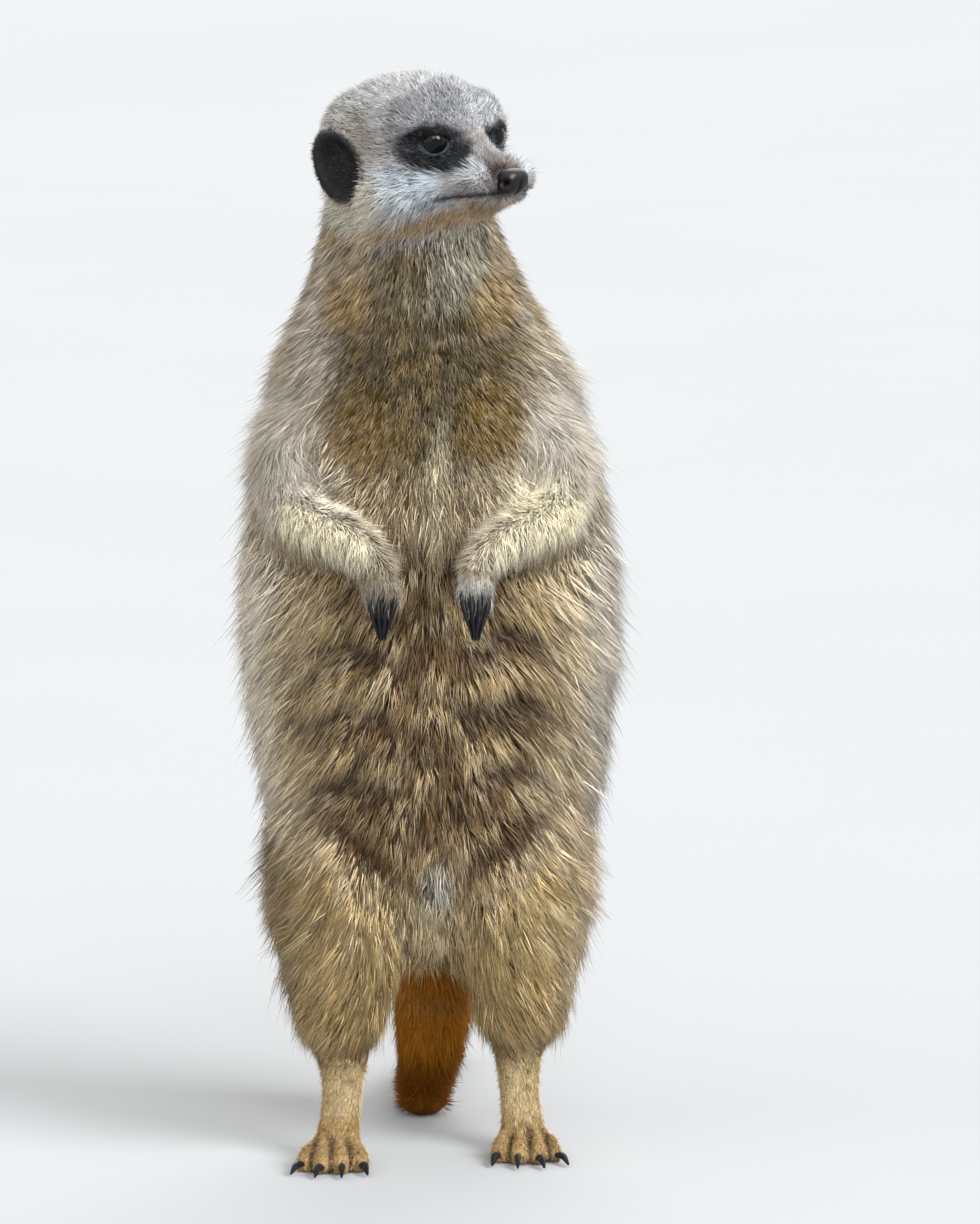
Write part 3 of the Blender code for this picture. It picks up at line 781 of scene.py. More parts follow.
# %% Markings of the trunk
def trunk_markings(points, normals, paint, on):
    x, _, z = points.T / MM
    front = ease(0.15, 0.65, -normals[:, 1])
    back = ease(0.05, 0.6, normals[:, 1])
    rough = wave(points, 12, 5)
    wide = np.abs(x)
    lay, on_front = paint.within(on), paint.within(on * front)
    lay(1, GREY_TAN)
    bands = ease(-0.15, 0.55, np.cos((z + 0.12 * wide + 1.5 * rough) / 13.5 * 2 * math.pi))
    lay(back * bands * between(84, 98, 205, 222, z) * ease(46, 30, wide), DARK)
    lay(ease(20, 34, wide + 3 * rough) * (1 - back * 0.7), SILVER)
    inner_side = (1 - back) * ease(42, 34, wide + 2 * rough)
    lay(ease(205, 180, z) * inner_side * 0.7, (0.58, 0.44, 0.24))
    patches = ease(-0.1, 0.6, wave(points, 24, 41)) * (1 - back)
    lay(patches * (0.15 + 0.3 * ease(185, 200, z)), (0.46, 0.33, 0.18))
    lay(ease(-36, -43, x) * ease(205, 190, z) * 0.65, (0.78, 0.70, 0.58))
    lay(ease(34, 42, x) * ease(205, 190, z) * (1 - back) * 0.35, (0.49, 0.44, 0.36))
    lay(ease(24, 34, x) * between(196, 206, 244, 256, z) * 0.3, (0.60, 0.62, 0.62))
    chest = front * spot(x, z, (-1, 232), (23, 30), 0.5)
    lay(chest, BROWN)
    cups = spot(x, z, (-16, 213), (9, 11), 0.8) + spot(x, z, (16, 216), (9, 11), 0.8)
    on_front(cups * 0.85, (0.24, 0.145, 0.035))
    flecks = ease(0.1, 0.6, wave(points, 6, 51)) * spot(x, z, (0, 222), (24, 34), 0.6)
    on_front(flecks * 0.4, (0.34, 0.22, 0.08))
    throat = front * spot(x, z, (1, 262), (14, 15), 0.6)
    lay(throat, (0.36, 0.33, 0.26))
    # painted shade: the animal's right half of the throat is darkened to brown
    lay(throat * ease(2, -4, x + rough), (0.19, 0.14, 0.075))
    # an orange-brown band under the cheek, partly painted shade where the cheek's fur hangs over the
    # neck
    jaw = z - 270 - 0.1 * (x + 12)
    shade_under_cheek = ease(3.5, 1.5, np.abs(jaw + rough)) * between(-34, -28, 14, 24, x)
    lay(shade_under_cheek * front, (0.40, 0.265, 0.115))
    gold = spot(x, z, (-20, 249), (6, 8), 0.8) + spot(x, z, (15, 249), (6, 8), 0.8)
    on_front(gold * 0.8, (0.38, 0.25, 0.10))
    line = front * peak(x, 2 + rough, 1.6) * ease(240, 250, z)
    lay(line * 0.6, BROWN)
    belly = front * spot(x + 2 * rough, z, (-1, 140), (31, 45), 0.35)
    lay(belly, (0.20, 0.125, 0.055))
    line = ease(3.4, 0.4, np.abs(x - 2 - 1.2 * rough)) * spot(x, z, (2, 193), (8, 21), 1.3)
    on_front(line * 0.75, CREAM)
    reach = front * between(84, 92, 176, 186, z)
    lay(reach * fold_depth(x, z - 7) * 0.75, (0.60, 0.46, 0.25))
    # painted shade in the bottom of each fold, under the fringe that hangs over it
    lay(reach * fold_depth(x, z + 1.5) * 0.9, PURPLE)
    blotches = ease(0.15, 0.6, wave(points, 11, 61)) * belly
    lay(blotches * 0.55, (0.105, 0.062, 0.036))
    on_front(spot(x, z, (15, 136), (11, 8), 1.0) * 0.35, (0.08, 0.05, 0.03))
    on_front(spot(x, z, (-24, 141), (6, 12), 1.0) * 0.35, (0.60, 0.46, 0.25))
    clumps = ease(0.15, 0.6, wave(points, 13, 31)) * spot(x, z, (1, 142), (20, 42), 0.5)
    on_front(clumps * 0.8, (0.56, 0.43, 0.25))
    return belly

# %% [markdown]
# The forearms are cream along the top, the thighs tan with dark knees, the feet tan, and the tail
# rusty with a black tip. Each limb is painted through its own share of the skin, so a mark fades
# out where one part of the body passes into the next.

# %% Markings of the limbs and tail
def limb_markings(points, normals, paint, on):
    x, y, z = points.T / MM
    wide, rough = np.abs(x), wave(points, 9, 7)
    front = ease(0.1, 0.6, -normals[:, 1])
    lay = lambda name, mask, colour: paint.over(on(name) * mask, colour)
    lay("foreleg", 1, SILVER)
    band = (z - 187) - 0.36 * (wide - 26)
    lay("foreleg", ease(200, 190, z) * ease(30, 20, wide), (0.42, 0.36, 0.27))
    lay("foreleg", ease(200, 190, z) * between(6, 12, 22, 30, x), (0.62, 0.55, 0.43))
    cream = ease(6.0, 2.5, np.abs(band + 2.2 + 0.8 * rough)) * between(14, 20, 38, 46, wide)
    lay("foreleg", ease(-0.3, 0.3, -normals[:, 1]) * cream, BRIGHT)
    lay("foreleg", ease(-5, -8.5, band) * ease(17, 24, wide) * 0.8, (0.44, 0.31, 0.15))
    # painted highlight: a bright patch on the animal's left elbow, on the side where the key light falls
    glow = np.maximum(on("foreleg"), on("trunk")) * spot(x, z, (29, 196), (10, 10), 0.8)
    paint.over(glow * ease(-0.2, 0.4, -normals[:, 1]) * 0.8, BRIGHT)
    lay("forepaw", 1, PAW)
    lay("forepaw", ease(-2, 2, -x) * 0.6, (0.34, 0.27, 0.17))
    lay("forepaw", ease(177, 173, z) * (0.25 + 0.65 * (x > 0)), (0.80, 0.80, 0.78))
    gap, _ = between_toes(points)
    lay("thigh", 1, THIGH)
    # painted shade: the animal's right thigh is darker brown
    lay("thigh", ease(4, -6, x) * 0.35, (0.36, 0.26, 0.12))
    lay("thigh", ease(28, 40, wide + 3 * rough) * 0.8, THIGH_OUT)
    lay("thigh", ease(0.0, 0.7, normals[:, 1]) * 0.7, GREY_TAN)
    low_side = ease(145, 78, z + 5 * rough) * ease(0.5, 0.0, -normals[:, 1])
    lay("trunk", low_side, THIGH_OUT)
    lay("thigh", (1 - low_side) * ease(0.5, 0.0, -normals[:, 1]), (0.50, 0.42, 0.30))
    both_fronts = paint.within(np.maximum(on("thigh"), on("trunk")) * front)
    knees = spot(x, z + 0.8 * (x + 18) + rough, (-18, 97), (11, 5), 0.8)
    knees = knees + spot(x, z - 0.8 * (x - 19) + rough, (19, 98), (11, 5), 0.8)
    both_fronts(knees, (0.11, 0.062, 0.030))
    both_fronts(spot(x, z, (1, 72), (8.5, 11), 0.8), (0.80, 0.67, 0.42))
    both_fronts(spot(x, z, (2, 85), (3.6, 7), 1.2) * 0.8, (0.66, 0.67, 0.66))
    lay("shank", 1, THIGH)
    lay("shank", ease(30, 38, wide + 2 * rough) * ease(38, 48, z) * 0.6, THIGH_OUT)
    # painted shade on the outer side of the animal's right thigh and shank
    shade_on_outer_right = np.maximum(on("shank"), on("thigh")) * ease(-26, -38, x + rough) * ease(36, 48, z)
    paint.over(shade_on_outer_right * 0.45, DARK)
    outer_left = np.maximum(on("shank"), on("thigh")) * ease(30, 40, x + rough) * ease(40, 50, z)
    paint.over(outer_left * 0.75, (0.66, 0.545, 0.39))
    lay("shank", ease(44, 36, z), LEG)
    # painted shade on top of the shank, under the thigh's hanging hair
    lay("shank", between(24, 30, 35, 40, z) * 0.5, (0.30, 0.19, 0.085))
    lay("hindfoot", 1, FOOT)
    lay("hindfoot", ease(8, 13, z + 0.3 * (y + 40)), LEG)
    lay("tail_base", 1, RUST)
    lay("tail_middle", 1, RUST)
    paint.over(np.maximum(on("tail_middle"), on("tail_base")) * ease(30, 14, z) * 0.8, RUST_DARK)
    lay("tail_tip", 1, RUST_DARK)
    tail = np.max([on("tail_base"), on("tail_middle"), on("tail_tip")], 0)
    paint.over(tail * ease(-0.1, 0.6, normals[:, 1] + normals[:, 2]) * 0.75, (0.36, 0.235, 0.11))
    lay("tail_tip", ease(58, 66, y + rough), BLACK)
    # painted shade in the gaps between the toes
    paint.over(gap * 0.85, (0.05, 0.035, 0.028))


def markings(points, normals, share_of_part):
    """The coat's colour at each point, and how dark and bare the belly is there."""
    paint = Painting(np.tile(GREY_TAN, (len(points), 1)))
    on = lambda name: share_of_part[name]
    body = np.maximum(on("trunk"), on("neck"))
    belly = trunk_markings(points, normals, paint, body)
    limb_markings(points, normals, paint, on)
    head_markings(points, paint, on("head"))
    # the ears' own dark colour, carried deeper onto the skull beside each ear as painted shade
    paint.over(np.maximum(on("ear"), ear_share(points, 8.5)), EAR)
    return paint.tone, belly * body

# %% [markdown]
# Skin and coat both ask the same things of a place: which part of the body it is on, its colour,
# and how much room there is from there out to the ends of the coat. They are worked out once for
# each point of the skin, and any tuft can then read them at its root.

# %% Values at every point of the skin
def shares(parts, edges, rounds):
    """How much each point belongs to each part of the body, blended near their borders."""
    table = np.stack([is_on(parts, name) for name in COAT_DEPTH], 1)
    table = evened(table, edges, rounds)
    return {name: table[:, i] for i, name in enumerate(COAT_DEPTH)}


points, edges, normals = points_of(skin), edges_of(skin), normals_of(skin)
share_of_part = shares(parts, edges, 6)
broad = unit(evened(normals, edges, 10))
tone, belly = markings(points, broad, share_of_part)
room = np.array([coat_ends.find_nearest(p)[3] for p in points.tolist()]) / MM - 0.3
room = evened(np.maximum(room, 0.2), edges, 3)[:, 0]
print("room for the coat in mm:", np.percentile(room, (5, 50, 95)).round(2))

# %% [markdown]
# The lie of the coat is a direction at every point: back from the nose on the head, down the
# body, along the arms to the paws and along the tail. It could be combed by hand, but a
# direction for each part of the body, evened out over its borders, gives the same and repeats.

# %% Lie of the coat
COAT_LENGTH = {"head": 3.6, "ear": 1.7, "neck": 7.5, "trunk": 13.5, "foreleg": 5.5, "forepaw": 2.6,
               "thigh": 12.5, "shank": 10, "hindfoot": 2.6, "tail_base": 7.5, "tail_middle": 7,
               "tail_tip": 3.5}
STEADY_LIE = {"forepaw": (0, -0.25, -1.0), "hindfoot": (0, -1.0, -0.45), "tail_base": (0, 0.3, -1.0),
              "tail_tip": (0.1, 1.0, 0)}


def lie_of_coat(points, normals, parts, edges):
    x, y, z = points.T / MM
    f, l, u = in_head(points).T
    zero, one = np.zeros(len(x)), np.ones(len(x))
    front = ease(0.0, 0.6, -normals[:, 1])
    down = np.stack([0.012 * x, 0.15 * one, -one], 1)
    ruff = ease(-3, -12, u) * ease(28, 12, f)
    rise = u + 3 - 0.12 * np.clip(20 - f, 0, 60) - 26 * ruff
    from_nose = np.stack([f - 37, l, rise], 1) @ HEAD_AXES
    table = {name: down for name in COAT_DEPTH}
    table["head"] = unit(from_nose)
    table["ear"] = np.stack([-0.2 * one, zero, 0.1 * one], 1) @ HEAD_AXES + np.array([0, 0, -0.6])
    wrist = {s: np.array(middle(f"forepaw_{s}")) / MM for s in SIGN}
    wrist = np.where((x > 0)[:, None], wrist["left"], wrist["right"])
    along_arm = unit(wrist - np.stack([x, y, z], 1)) + np.array([0, 0, -0.35])
    table["foreleg"] = unit(along_arm) * ease(222, 205, z)[:, None] + down * ease(205, 222, z)[:, None]
    table.update({name: np.tile(way, (len(x), 1)) for name, way in STEADY_LIE.items()})
    bend = ease(24, 8, z)[:, None]
    table["tail_middle"] = np.array([0, 0.2, -1.0]) * (1 - bend) + np.array([0, 1.0, 0]) * bend
    names = list(COAT_DEPTH)
    which = np.array([names.index(n) for n in PART_NAMES])[parts]
    lie = np.stack([unit(table[n]) for n in names])[which, np.arange(len(x))]
    for side in SIGN:
        across, ahead, up, out = in_ear(points, side)
        fan = np.stack([ahead, 0.25 * SIGN[side] * one, up], 1) @ HEAD_AXES
        lie = np.where(((across < 1.1) & (out > -6))[:, None], unit(fan), lie)
    sway = np.stack([np.sign(x) * front * 0.22 * ease(4, 20, np.abs(x)), zero, zero], 1)
    lie = evened(lie + sway, edges, 14)
    return unit(lie - normals * (lie * normals).sum(1)[:, None])


lie = lie_of_coat(points, broad, parts, edges)
print("share of the coat that points down:", (lie[:, 2] < -0.5).mean().round(2))

# %% [markdown]
# The hair is shortest on the ears, feet and face, and longest on the flanks, the thighs and under
# the cheeks. A table by body part gives the first lengths, and a few places are then made longer
# or shorter, such as the chest, the fringes over the belly's folds, and the lower leg.

# %% Length of the coat
def length_of_coat(points, normals, parts, edges):
    x, y, z = points.T / MM
    f, _, u = in_head(points).T
    length = by_part(COAT_LENGTH, parts)
    part = lambda name: is_on(parts, name) > 0
    front = ease(0.2, 0.7, -normals[:, 1])
    face = 3.1 - 1.0 * ease(10, 24, f) * ease(-3, 3, u) - 0.6 * ease(14, 26, f)
    face = face + 4.6 * ease(-2, -12, u) * ease(24, 8, f) + 3.0 * fluffy_cheek(points)
    by_mouth = peak(u - mouth_height(f), 0.8, 1.6) * ease(18, 24, f)
    face = face * (1 - 0.55 * by_mouth)
    for side in SIGN:
        across, ahead, _, out = in_ear(points, side)
        face = face * (1 - 0.6 * ease(1.45, 1.15, across) * (out > -9) * (ahead > -0.2))
    length = np.where(part("head"), face, length)
    chest = front * ease(192, 204, z) * ease(30, 20, np.abs(x))
    low_front = front * ease(192, 180, z) * ease(33, 25, np.abs(x))
    length = np.where(part("trunk"), length - 6.5 * chest - 4.0 * low_front, length)
    length = np.where(part("trunk"), length - 3.0 * ease(205, 225, z) * (1 - 0.6 * chest), length)
    length = np.where(part("shank"), length + 2.0 * ease(36, 42, z) - 6.8 * ease(40, 29, z), length)
    length = np.where(part("foreleg"), length + 3.5 * ease(0.2, 0.7, -normals[:, 2]) + 1.0, length)
    upper = part("foreleg") & (z > 196)
    length = np.where(upper, 6.5 + 6.0 * ease(196, 208, z), length)
    length = evened(length, edges, 36)[:, 0]
    length = np.where(part("forepaw"), np.maximum(length, 3.8 * ease(178, 172, z)), length)
    groin = ease(86, 76, z) * ease(13, 7, np.abs(x - 1)) * ease(-60, -64, y)
    length = length * (1 - 0.5 * groin * np.maximum(part("trunk"), part("thigh")))
    reach = front * between(84, 92, 176, 186, z) * part("trunk")
    length = length * (1 - 0.4 * reach * fold_depth(x, z)) + 1.5 * reach * fold_depth(x, z - 7)
    return np.where(ear_share(points) > 0.5, 2.0, length)


length = length_of_coat(points, broad, parts, edges)
print("length of the coat in mm:", np.percentile(length, (5, 50, 95)).round(1))

# %% [markdown]
# A tuft has to rise to the outline of the solids before it lies down, or the animal would look
# thinner than it is. The room over the skin says how far. It is made larger where the coat
# stands out past the solids: the cheeks, the feet, the tail and the fringes of the belly.

# %% Room for the coat
x, y, z = points.T / MM
f, l, u = in_head(points).T
on = share_of_part
room = room + on["head"] * (0.4 + 2.4 * fluffy_cheek(points))
room = np.maximum(room, 0.8 * np.maximum(on["hindfoot"], on["forepaw"]))
room = np.maximum(room, 1.8 * on["forepaw"] * ease(178, 172, z))
plump = 1.8 + 1.6 * ease(-4, 6, x) * ease(10, 24, z)
room = np.maximum(room, plump * np.maximum(on["tail_base"], on["tail_middle"]))
cheekbone = ease(14, 17, np.abs(l)) * between(6, 11, 14, 22, f)
fringe = fold_depth(x, z - 7) * ease(0.2, 0.7, -broad[:, 1]) * ease(186, 176, z)
room = room + 1.6 * on["trunk"] * fringe + 0.8 * on["head"] * cheekbone
length = length + 1.2 * on["head"] * cheekbone
print("room with the fuller places in mm:", np.percentile(room, (5, 50, 95)).round(2))

# %% [markdown]
# A tuft is a thin closed spike with three sides: a few hairs stuck together, wide at the root
# and sharp at the tip. Long ones have a bend part of the way up. All the tufts of one piece
# are made at once as arrays, each at a random place on the skin, and each tip leans towards
# the tip of a neighbour, so that the coat falls in locks.

# %% Roots of the tufts
skin.data.calc_loop_triangles()
corners = read_rows(skin.data.loop_triangles, "vertices", 3, np.int64)
edge_a = points[corners[:, 1]] - points[corners[:, 0]]
edge_b = points[corners[:, 2]] - points[corners[:, 0]]
area = np.linalg.norm(np.cross(edge_a, edge_b), axis=1) / 2 / MM ** 2
centre = points[corners].mean(1)
print("triangles of skin:", len(corners), "area in square cm:", round(area.sum() / 100))


def scattered(weight, count, dice):
    """A way to read the skin's values at random places on its triangles."""
    likely = weight * area
    chosen = dice.choice(len(corners), count, p=likely / likely.sum())
    a, b = dice.random(count), dice.random(count)
    a, b = np.where(a + b > 1, 1 - a, a), np.where(a + b > 1, 1 - b, b)
    shares = np.stack([1 - a - b, a, b], 1)
    return lambda values: np.einsum("ij,ij...->i...", shares, values[corners[chosen]])


# %% Shapes of the tufts
def locks(roots, size, dice):
    """For each tuft, which tuft's tip it leans to: the leader of its lock."""
    count = max(1, len(roots) // size)
    leaders = dice.choice(len(roots), count, replace=False)
    tree = KDTree(count)
    for i, leader in enumerate(leaders):
        tree.insert(roots[leader], i)
    tree.balance()
    return leaders[np.array([tree.find(r)[1] for r in roots.tolist()])]


def strand_points(root, start, end, length, shares):
    """Places along strands that leave in one direction and end in another."""
    s = np.asarray(shares)[None, :, None]
    way = s * start[:, None] + s * s / 2 * (end - start)[:, None]
    return root[:, None] + length[:, None, None] * way


def ring_round(line, side, width):
    """Three corners round the second place of each strand, flattened along the body."""
    ahead = unit(line[:, 2] - line[:, 0])
    over = np.cross(side, ahead)
    turns = np.array((math.pi / 2, math.pi * 7 / 6, math.pi * 11 / 6))[:, None, None]
    offset = (over * np.sin(turns) * 0.6 - side * np.cos(turns)) * width[:, None] / 2
    return np.moveaxis(line[:, 1] + offset, 0, 1)


# the corners of each face: 0, 1 and 2 are the ring, 3 is the tip and 4 the root
TO_TIP = [(0, 1, 3), (1, 2, 3), (2, 0, 3)]
STRAIGHT = [(0, 2, 1), *TO_TIP]
BENT = [*TO_TIP, (1, 0, 4), (2, 1, 4), (0, 2, 4)]
BEND_AT = 0.38  # how far along a bent tuft its ring is
BURIED = 0.25 * MM  # how deep a root goes into the skin
PATCH = 0.003  # each tuft's size on the unwrap
print("faces of a short tuft and of a long one:", len(STRAIGHT), len(BENT))


def spike_patch(faces):
    """Where each corner of each face of a tuft lies in its patch of the unwrap."""
    patch = []
    for face in faces:
        first = {(0, 1): 0, (1, 2): 1}.get(tuple(sorted(c for c in face if c < 3)), 2)
        for corner in face:
            across = first + 0.5 if corner > 2 else (3 if first == 2 and corner == 0 else corner)
            height = {3: 1.0, 4: 0.0}.get(corner, 0.3)
            if face == (0, 2, 1):
                across, height = corner, 0.05 * (corner == 1)
            patch.append((across / 3 * PATCH, height * PATCH))
    return np.array(patch)

# %% [markdown]
# Hair curves would be finer, but they are lost when a model is exported as solids. One mesh
# filled from arrays takes twenty thousand tufts in a moment, and it carries each tuft's colour,
# the way along it, and its patch of the unwrap.

# %% One mesh of many tufts
def store(thing, name, values):
    """Keeps one number, or one colour of four, for each point of a piece."""
    kind, key = ("FLOAT_COLOR", "color") if np.ndim(values) > 1 else ("FLOAT", "value")
    made = thing.data.attributes.new(name, kind, "POINT")
    made.data.foreach_set(key, np.asarray(values, np.float32).ravel())


def mesh_from_spikes(name, spikes, faces, colours, along, patch, places):
    """One mesh of many equal spikes, with its colours and its unwrap."""
    count, corners_each = spikes.shape[:2]
    sizes = np.array([len(f) for f in faces])
    flat = np.concatenate([np.array(f) for f in faces])
    loops = (np.arange(count)[:, None] * corners_each + flat[None]).ravel()
    mesh = bpy.data.meshes.new(name)
    mesh.vertices.add(count * corners_each)
    mesh.vertices.foreach_set("co", spikes.astype(np.float32).ravel())
    mesh.loops.add(len(loops))
    mesh.loops.foreach_set("vertex_index", loops.astype(np.int32))
    mesh.polygons.add(count * len(faces))
    starts = np.concatenate([[0], np.cumsum(np.tile(sizes, count))[:-1]])
    mesh.polygons.foreach_set("loop_start", starts.astype(np.int32))
    mesh.update(calc_edges=True)
    mesh.validate()
    mesh.shade_smooth()
    thing = bpy.data.objects.new(name, mesh)
    scene.collection.objects.link(thing)
    rgba = np.ones((count, corners_each, 4))
    rgba[..., :3] = colours
    store(thing, "tone", rgba.reshape(-1, 4))
    store(thing, "along", np.tile(along, count))
    uv = places[:, None] * (1 - PATCH) + patch[None]
    mesh.uv_layers.new(name="OFBake").data.foreach_set("uv", uv.astype(np.float32).ravel())
    return thing

# %% [markdown]
# In one piece of coat no two tufts are alike. Dice with a fixed seed vary their length, rise and
# tone, a few wisps and guard hairs stand out farther, and some tufts are the dark hairs under the
# coat or its pale ends. The fixed seed gives the same coat on every run.

# %% One piece of coat
def varied(colour, leader, dice, grizzle):
    """A tuft's own colour: some are the dark hairs under the coat and some its pale ends."""
    draw = dice.random(len(colour))
    draw = np.where(dice.random(len(colour)) < 0.45, draw[leader], draw)
    dark, pale = draw < 0.27 * grizzle, draw > 1 - 0.34 * grizzle
    shade = np.where(dark, 0.34, 1.0) * dice.uniform(0.82, 1.18, len(colour))
    out = colour * shade[:, None]
    bright = colour.max(1) * 1.25 + 0.06
    own = colour / np.maximum(colour.max(1), 1e-3)[:, None]
    ivory = (0.5 * np.array([1.0, 0.95, 0.82]) + 0.5 * own) * bright[:, None]
    return np.where(pale[:, None], out * 0.25 + ivory * 0.75, out)


def make_coat(name, weight, count, width, faces, unwrap, seed, lock=8, lean=0.45, stand=1.0,
              grizzle=1.0, vary=0.25, wisps=0.05, tousled=0.16, longer=1.0):
    """Covers the weighted part of the skin with count tufts."""
    dice = np.random.default_rng(seed)
    read = scattered(weight, count, dice)
    root, normal, way = read(points), unit(read(broad)), unit(read(lie))
    long = read(length) * longer * dice.uniform(1 - vary, 1 + vary, count)
    high = read(room) * dice.uniform(0.55, 1.2, count) * stand
    wisp = dice.random(count) < wisps
    long, high = np.where(wisp, long * 1.3, long), np.where(wisp, high * 2.0, high)
    guard = dice.random(count) < wisps * 0.15
    long, high = np.where(guard, long * 1.25, long), np.where(guard, high * 1.8, high)
    rise = np.clip(high / np.maximum(long, 0.1), 0.04, 0.75)
    across = np.cross(normal, way)
    sway = dice.normal(0, tousled, count)[:, None] * across
    way = unit(way + sway)
    first, last = np.arcsin(np.clip(rise * 1.5, 0, 0.92)), np.arcsin(rise * 0.5)
    start = unit(way * np.cos(first)[:, None] + normal * np.sin(first)[:, None])
    end = unit(way * np.cos(last)[:, None] + normal * np.sin(last)[:, None]
               + dice.normal(0, 0.10, (count, 3)))
    shares = np.array([0.0, BEND_AT if faces is BENT else 0.0, 1.0])
    root_in = root - normal * BURIED
    tip = strand_points(root_in, start, end, long * MM, [1.0])[:, 0]
    leader = locks(root, lock, dice)
    pull = (tip[leader] - tip) * (lean * dice.uniform(0.5, 1.3, count))[:, None]
    line = strand_points(root_in, start, end, long * MM, shares)
    line = line + pull[:, None] * (shares ** 1.6)[None, :, None]
    line[..., 2] = np.maximum(line[..., 2], cad_low.z + 0.3 * MM)
    side = unit(np.cross(normal, line[:, -1] - line[:, 0]))
    thick = width * dice.uniform(0.7, 1.3, count) * MM
    spikes = np.concatenate([ring_round(line, side, thick), line[:, 2:], line[:, :1]], 1)
    along = np.array([*[shares[1]] * 3, 1.0, 0.0])
    if faces is STRAIGHT:
        spikes, along = spikes[:, :4], along[:4]
    tint = read(tone)
    tint = varied(tint * (1 + 0.14 * wave(root, 4.5, seed))[:, None], leader, dice, grizzle)
    thing = mesh_from_spikes(name, spikes, faces, tint[:, None], along, spike_patch(faces), unwrap(root))
    print(name, count, "tufts,", count * len(faces), "triangles")
    return thing

# %% [markdown]
# Each piece of coat covers one part of the body. Its unwrap follows that part: round and up
# for the trunk and limbs, round and out from the crown for the head. Left and right limbs
# take one half of the square each, so that no two places on the skin share a spot.

# %% Unwraps
def even(values):
    low, high = values.min(), values.max()
    return (values - low) / max(high - low, 1e-9)


def round_axis(middle_x, middle_y):
    """Angle round an upright line, and height."""
    def unwrap(places):
        x, y, z = places.T / MM
        return np.stack([even(np.arctan2(x - middle_x, middle_y - y)), even(z)], 1)
    return unwrap


def round_limbs(places):
    """Angle round each limb's own middle, and the way along it."""
    x, y, z = places.T / MM
    half = (x > 0).astype(float)
    along = z - 0.5 * y
    low, high = along.min(), along.max()
    bin_number = np.clip(((along - low) / (high - low) * 24).astype(int), 0, 23)
    key = bin_number + 24 * (x > 0)
    count = np.maximum(np.bincount(key, minlength=48), 1)
    mid_x = (np.bincount(key, x, 48) / count)[key]
    mid_y = (np.bincount(key, y, 48) / count)[key]
    angle = (np.arctan2(x - mid_x, mid_y - y) / (2 * math.pi)) + 0.5
    return np.stack([np.clip((angle + half) / 2, 0, 1), even(along)], 1)


def round_skull(places):
    """Angle round the line of the gaze, and how far back along the head."""
    f, l, u = in_head(places).T
    return np.stack([(np.arctan2(l, u + 2) / (2 * math.pi)) + 0.5, even(f - 0.2 * np.abs(l))], 1)


# %% Parts of the skin
f, l, u = in_head(centre).T
x, y, z = centre.T / MM
faces_of = {name: value[corners].mean(1) for name, value in share_of_part.items()}
normal_here = broad[corners].mean(1)
on_body = np.maximum(faces_of["trunk"], faces_of["neck"]) > 0.5
forward = -normal_here[:, 1]
BELLY_TOP, CHEST_TOP = 186, 246  # heights in mm where one piece of coat ends and the next begins
belly_here = on_body & (forward > 0.45) & (z < BELLY_TOP) & (np.abs(x) < 34)
chest_here = on_body & (forward > 0.3) & (z >= BELLY_TOP) & (z < CHEST_TOP)
neck_here = on_body & (z >= CHEST_TOP)
back_here = on_body & ~belly_here & ~chest_here & ~neck_here & (normal_here[:, 1] > 0.35)
side_here = on_body & ~belly_here & ~chest_here & ~neck_here & ~back_here
limb = lambda *names: np.max([faces_of[n] for n in names], 0) > 0.5
clear = np.ones(len(corners))
for side in SIGN:
    along_eye, up_eye, far_eye, _ = about_eye(centre, side)
    clear[(far_eye < 12) & (opening(along_eye, up_eye) < 1.12)] = 0
clear[np.sqrt((f - 40.6) ** 2 + l ** 2 + (u + 4.2) ** 2) < 4.3] = 0
ear_here = np.maximum(ear_share(centre), faces_of["ear"]) > 0.5
across = np.minimum(in_ear(centre, "left")[0] + 9 * (l < 0), in_ear(centre, "right")[0] + 9 * (l > 0))
head_here = limb("head") & (clear > 0) & ~ear_here
bare_sole = ease(-0.3, -0.6, normal_here[:, 2]) * ease(6, 3, z)
face_here = head_here & (f > 8)
thin_belly = 0.35 + 0.65 * ease(20, 33, np.abs(x))
print("share of the skin that the belly takes:", round((area * belly_here).sum() / area.sum(), 2))

# %% [markdown]
# The coat grows in fifteen pieces, because a piece of under 200,000 triangles keeps all of them
# when it is exported. Each row says where the piece grows and how dense it is, how wide its tufts
# are, and how they gather, lean, stand and tousle.

# %% All the coat
TAIL = ("tail_base", "tail_middle", "tail_tip")
side_ways = dict(lock=9, lean=0.45, stand=0.9, wisps=0.24, tousled=0.25)
